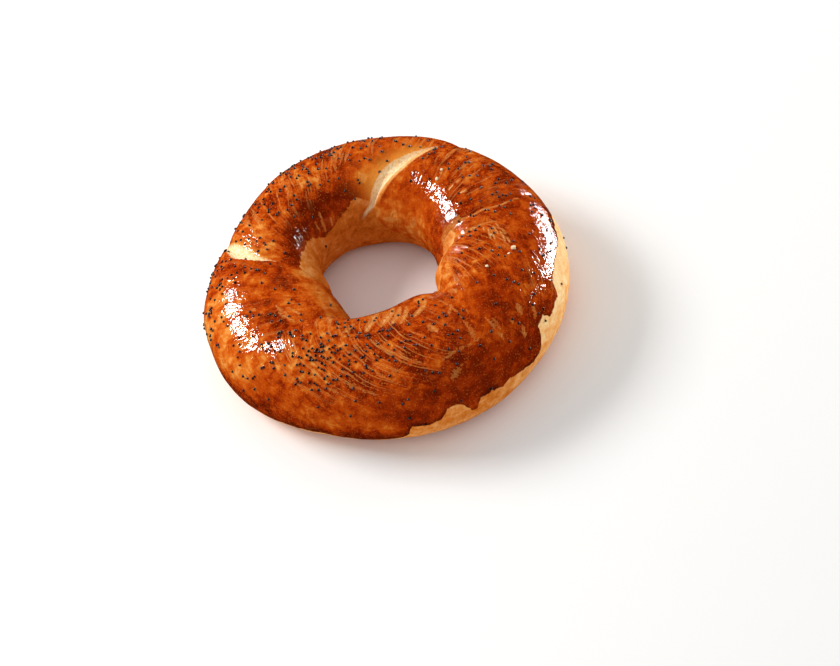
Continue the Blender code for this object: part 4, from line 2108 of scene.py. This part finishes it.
@dataclass
class Crumbs:
    """A few dry crumbs that fell on the crust.

    Attributes:
        form: The plain ring.
        crust: The crust that they lie on.
        places: The crumbs.
        reach: From how far above the plain ring the crust is sought.
        jag: How uneven a crumb is.
        lump: Size of its lumps, as a share of its own.
        flatness: How high it is, as a share of its width.
        rise: How far its middle stands above the crust, as a share of its size.
    """

    form: RingForm
    crust: bpy.types.Object
    places: tuple[Crumb, ...] = (
        Crumb(344.5, 76.0, 1.9, 1),
        Crumb(341.0, 79.5, 1.0, 2),
        Crumb(331.5, 95.0, 1.2, 3),
        Crumb(46.0, 100.0, 1.1, 4),
        Crumb(45.5, 111.0, 1.2, 5),
        Crumb(352.0, 96.0, 0.8, 6),
    )
    reach: float = 8.0
    jag: float = 0.5
    lump: float = 0.38
    flatness: float = 0.62
    rise: float = 0.16

    def build(self) -> bpy.types.Object:
        """Makes the crumbs as one mesh, each resting on the crust.

        Returns:
            All the crumbs.

        Raises:
            ValueError: No crust lies under a crumb's place.
        """
        heap = bmesh.new()
        for crumb in self.places:
            ring, section = np.array([crumb.ring]), np.array([crumb.section])
            above = Vector(self.form.points(ring, section)[0] * MM)
            normal = Vector(self.form.normals(ring, section)[0])
            start = above + normal * self.reach * MM
            hit, place, _, _ = self.crust.ray_cast(start, -normal)
            if not hit:
                raise ValueError(f"no crust under the crumb at {crumb.ring}, {crumb.section}")
            made = bmesh.ops.create_icosphere(heap, subdivisions=2, radius=crumb.size / 2 * MM)
            for vertex in made["verts"]:
                # Each crumb has a place of its own among the lumps.
                corner = np.array(vertex.co) / MM + crumb.seed * 7.3
                lumpy = float(unevenness(corner, self.lump * crumb.size, crumb.seed))
                vertex.co *= 1 + self.jag * lumpy
                vertex.co.z *= self.flatness
            lie = normal.to_track_quat("Z", "Y").to_matrix().to_4x4()
            lift = Matrix.Translation(place + normal * crumb.size * self.rise * MM)
            bmesh.ops.transform(heap, matrix=lift @ lie, verts=made["verts"])
        mesh = bpy.data.meshes.new("crumbs")
        heap.to_mesh(mesh)
        heap.free()
        mesh.materials.append(DryCrumb().material())
        mesh.shade_smooth()
        crumbs = new_object("crumbs", mesh)
        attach(crumbs, "root")
        return crumbs


@dataclass(frozen=True)
class SoftBox:
    """A soft light, facing the middle of the roll.

    Attributes:
        name: What the light is.
        azimuth: Its direction from the roll, in degrees anticlockwise from +X.
        elevation: How high it stands, in degrees.
        distance: How far away it is, in metres.
        width: Its width, in metres.
        height: Its height, in metres.
        watts: Its power.
        sheen_only: Whether it shows in glossy reflections alone. Any other light shows in none.
    """

    name: str
    azimuth: float
    elevation: float
    distance: float
    width: float
    height: float
    watts: float
    sheen_only: bool = False

    def build(self) -> bpy.types.Object:
        """Hangs the light.

        Returns:
            The light.
        """
        data = bpy.data.lights.new(self.name, "AREA")
        data.shape = "RECTANGLE"
        data.size, data.size_y = self.width, self.height
        data.energy = self.watts
        light = new_object(self.name, data)
        turn, rise = math.radians(self.azimuth), math.radians(self.elevation)
        level = math.cos(rise)
        towards = Vector((math.cos(turn) * level, math.sin(turn) * level, math.sin(rise)))
        light.location = towards * self.distance
        light.rotation_euler = towards.to_track_quat("Z", "Y").to_euler()
        light.visible_diffuse = not self.sheen_only
        light.visible_glossy = self.sheen_only
        return light


@dataclass
class Studio:
    """A white paper sweep, soft lights, and the camera looking down on the ring's front.

    Attributes:
        elevation: How steeply the camera looks down, in degrees.
        roll: How far the camera is turned about its own line of sight, in degrees.
        aim: What the middle of the picture shows, in millimetres.
        distance: From there to the camera, in millimetres.
        lens: The camera's focal length on a 36 mm sensor.
        sky: Brightness of the even light from all round.
        floor_reach: How far the sweep reaches to each side, in metres.
        floor_gap: How far it lies under the roll, in millimetres.
        lights: The soft lights.
    """

    elevation: float = 51.0
    roll: float = -13.0
    aim: tuple[float, float, float] = (8.45, -27.81, 17.5)
    distance: float = 700.0
    lens: float = 85.0
    sky: float = 0.7
    floor_reach: float = 3.0
    floor_gap: float = 0.05
    lights: tuple[SoftBox, ...] = (
        SoftBox("window", 152, 38, 0.9, 0.42, 0.25, 7.0),
        SoftBox("side", 28, 3, 0.8, 0.32, 0.10, 3.5),
        SoftBox("window sheen", 152, 36, 0.88, 0.24, 0.17, 11.0, True),
        SoftBox("side sheen", 28, 3, 0.78, 0.36, 0.11, 11.0, True),
    )

    def camera(self) -> bpy.types.Object:
        """Sets up the camera.

        Returns:
            The camera.
        """
        data = bpy.data.cameras.new("camera")
        data.lens = self.lens
        data.sensor_width = 36.0
        data.clip_start, data.clip_end = 0.05, 20.0
        camera = new_object("camera", data)
        rise = math.radians(self.elevation)
        back = Vector((0, -math.cos(rise), math.sin(rise)))
        level = Vector((1, 0, 0))
        up = back.cross(level)
        axes = Matrix((level, up, back)).transposed().to_4x4()
        place = Matrix.Translation((Vector(self.aim) + back * self.distance) * MM)
        camera.matrix_world = place @ axes @ Matrix.Rotation(math.radians(self.roll), 4, "Z")
        bpy.context.scene.camera = camera
        return camera

    def floor(self) -> bpy.types.Object:
        """Lays the paper sweep just under the roll.

        Returns:
            The sweep.
        """
        shell = bmesh.new()
        bmesh.ops.create_grid(shell, x_segments=1, y_segments=1, size=self.floor_reach)
        mesh = bpy.data.meshes.new("floor")
        shell.to_mesh(mesh)
        shell.free()
        mesh.transform(Matrix.Translation((0, 0, -self.floor_gap * MM)))
        mesh.materials.append(PaleFloor().material())
        floor = new_object("floor", mesh)
        floor.visible_glossy = False
        return floor

    def build(self) -> None:
        """Sets up the floor, the lights and the camera."""
        scene = bpy.context.scene
        scene.view_settings.view_transform = "Standard"
        world = bpy.data.worlds.new("studio")
        world.use_nodes = True
        background = world.node_tree.nodes["Background"]
        background.inputs["Color"].default_value = (1, 1, 1, 1)
        background.inputs["Strength"].default_value = self.sky
        world.cycles_visibility.glossy = False
        scene.world = world
        self.floor()
        for light in self.lights:
            light.build()
        self.camera()


def main() -> None:
    """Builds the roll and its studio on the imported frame, and reports each piece."""
    logging.basicConfig(level=logging.INFO, format="%(name)s: %(message)s")
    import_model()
    Studio().build()
    form = RingForm()
    crust = Crust(form).build()
    seeds = PoppySeeds(crust).build()
    crumbs = Crumbs(form, crust).build()
    for piece in (crust, seeds, crumbs):
        log.info("%s: %d faces", piece.name, len(piece.data.polygons))


if __name__ == "__main__":
    main()
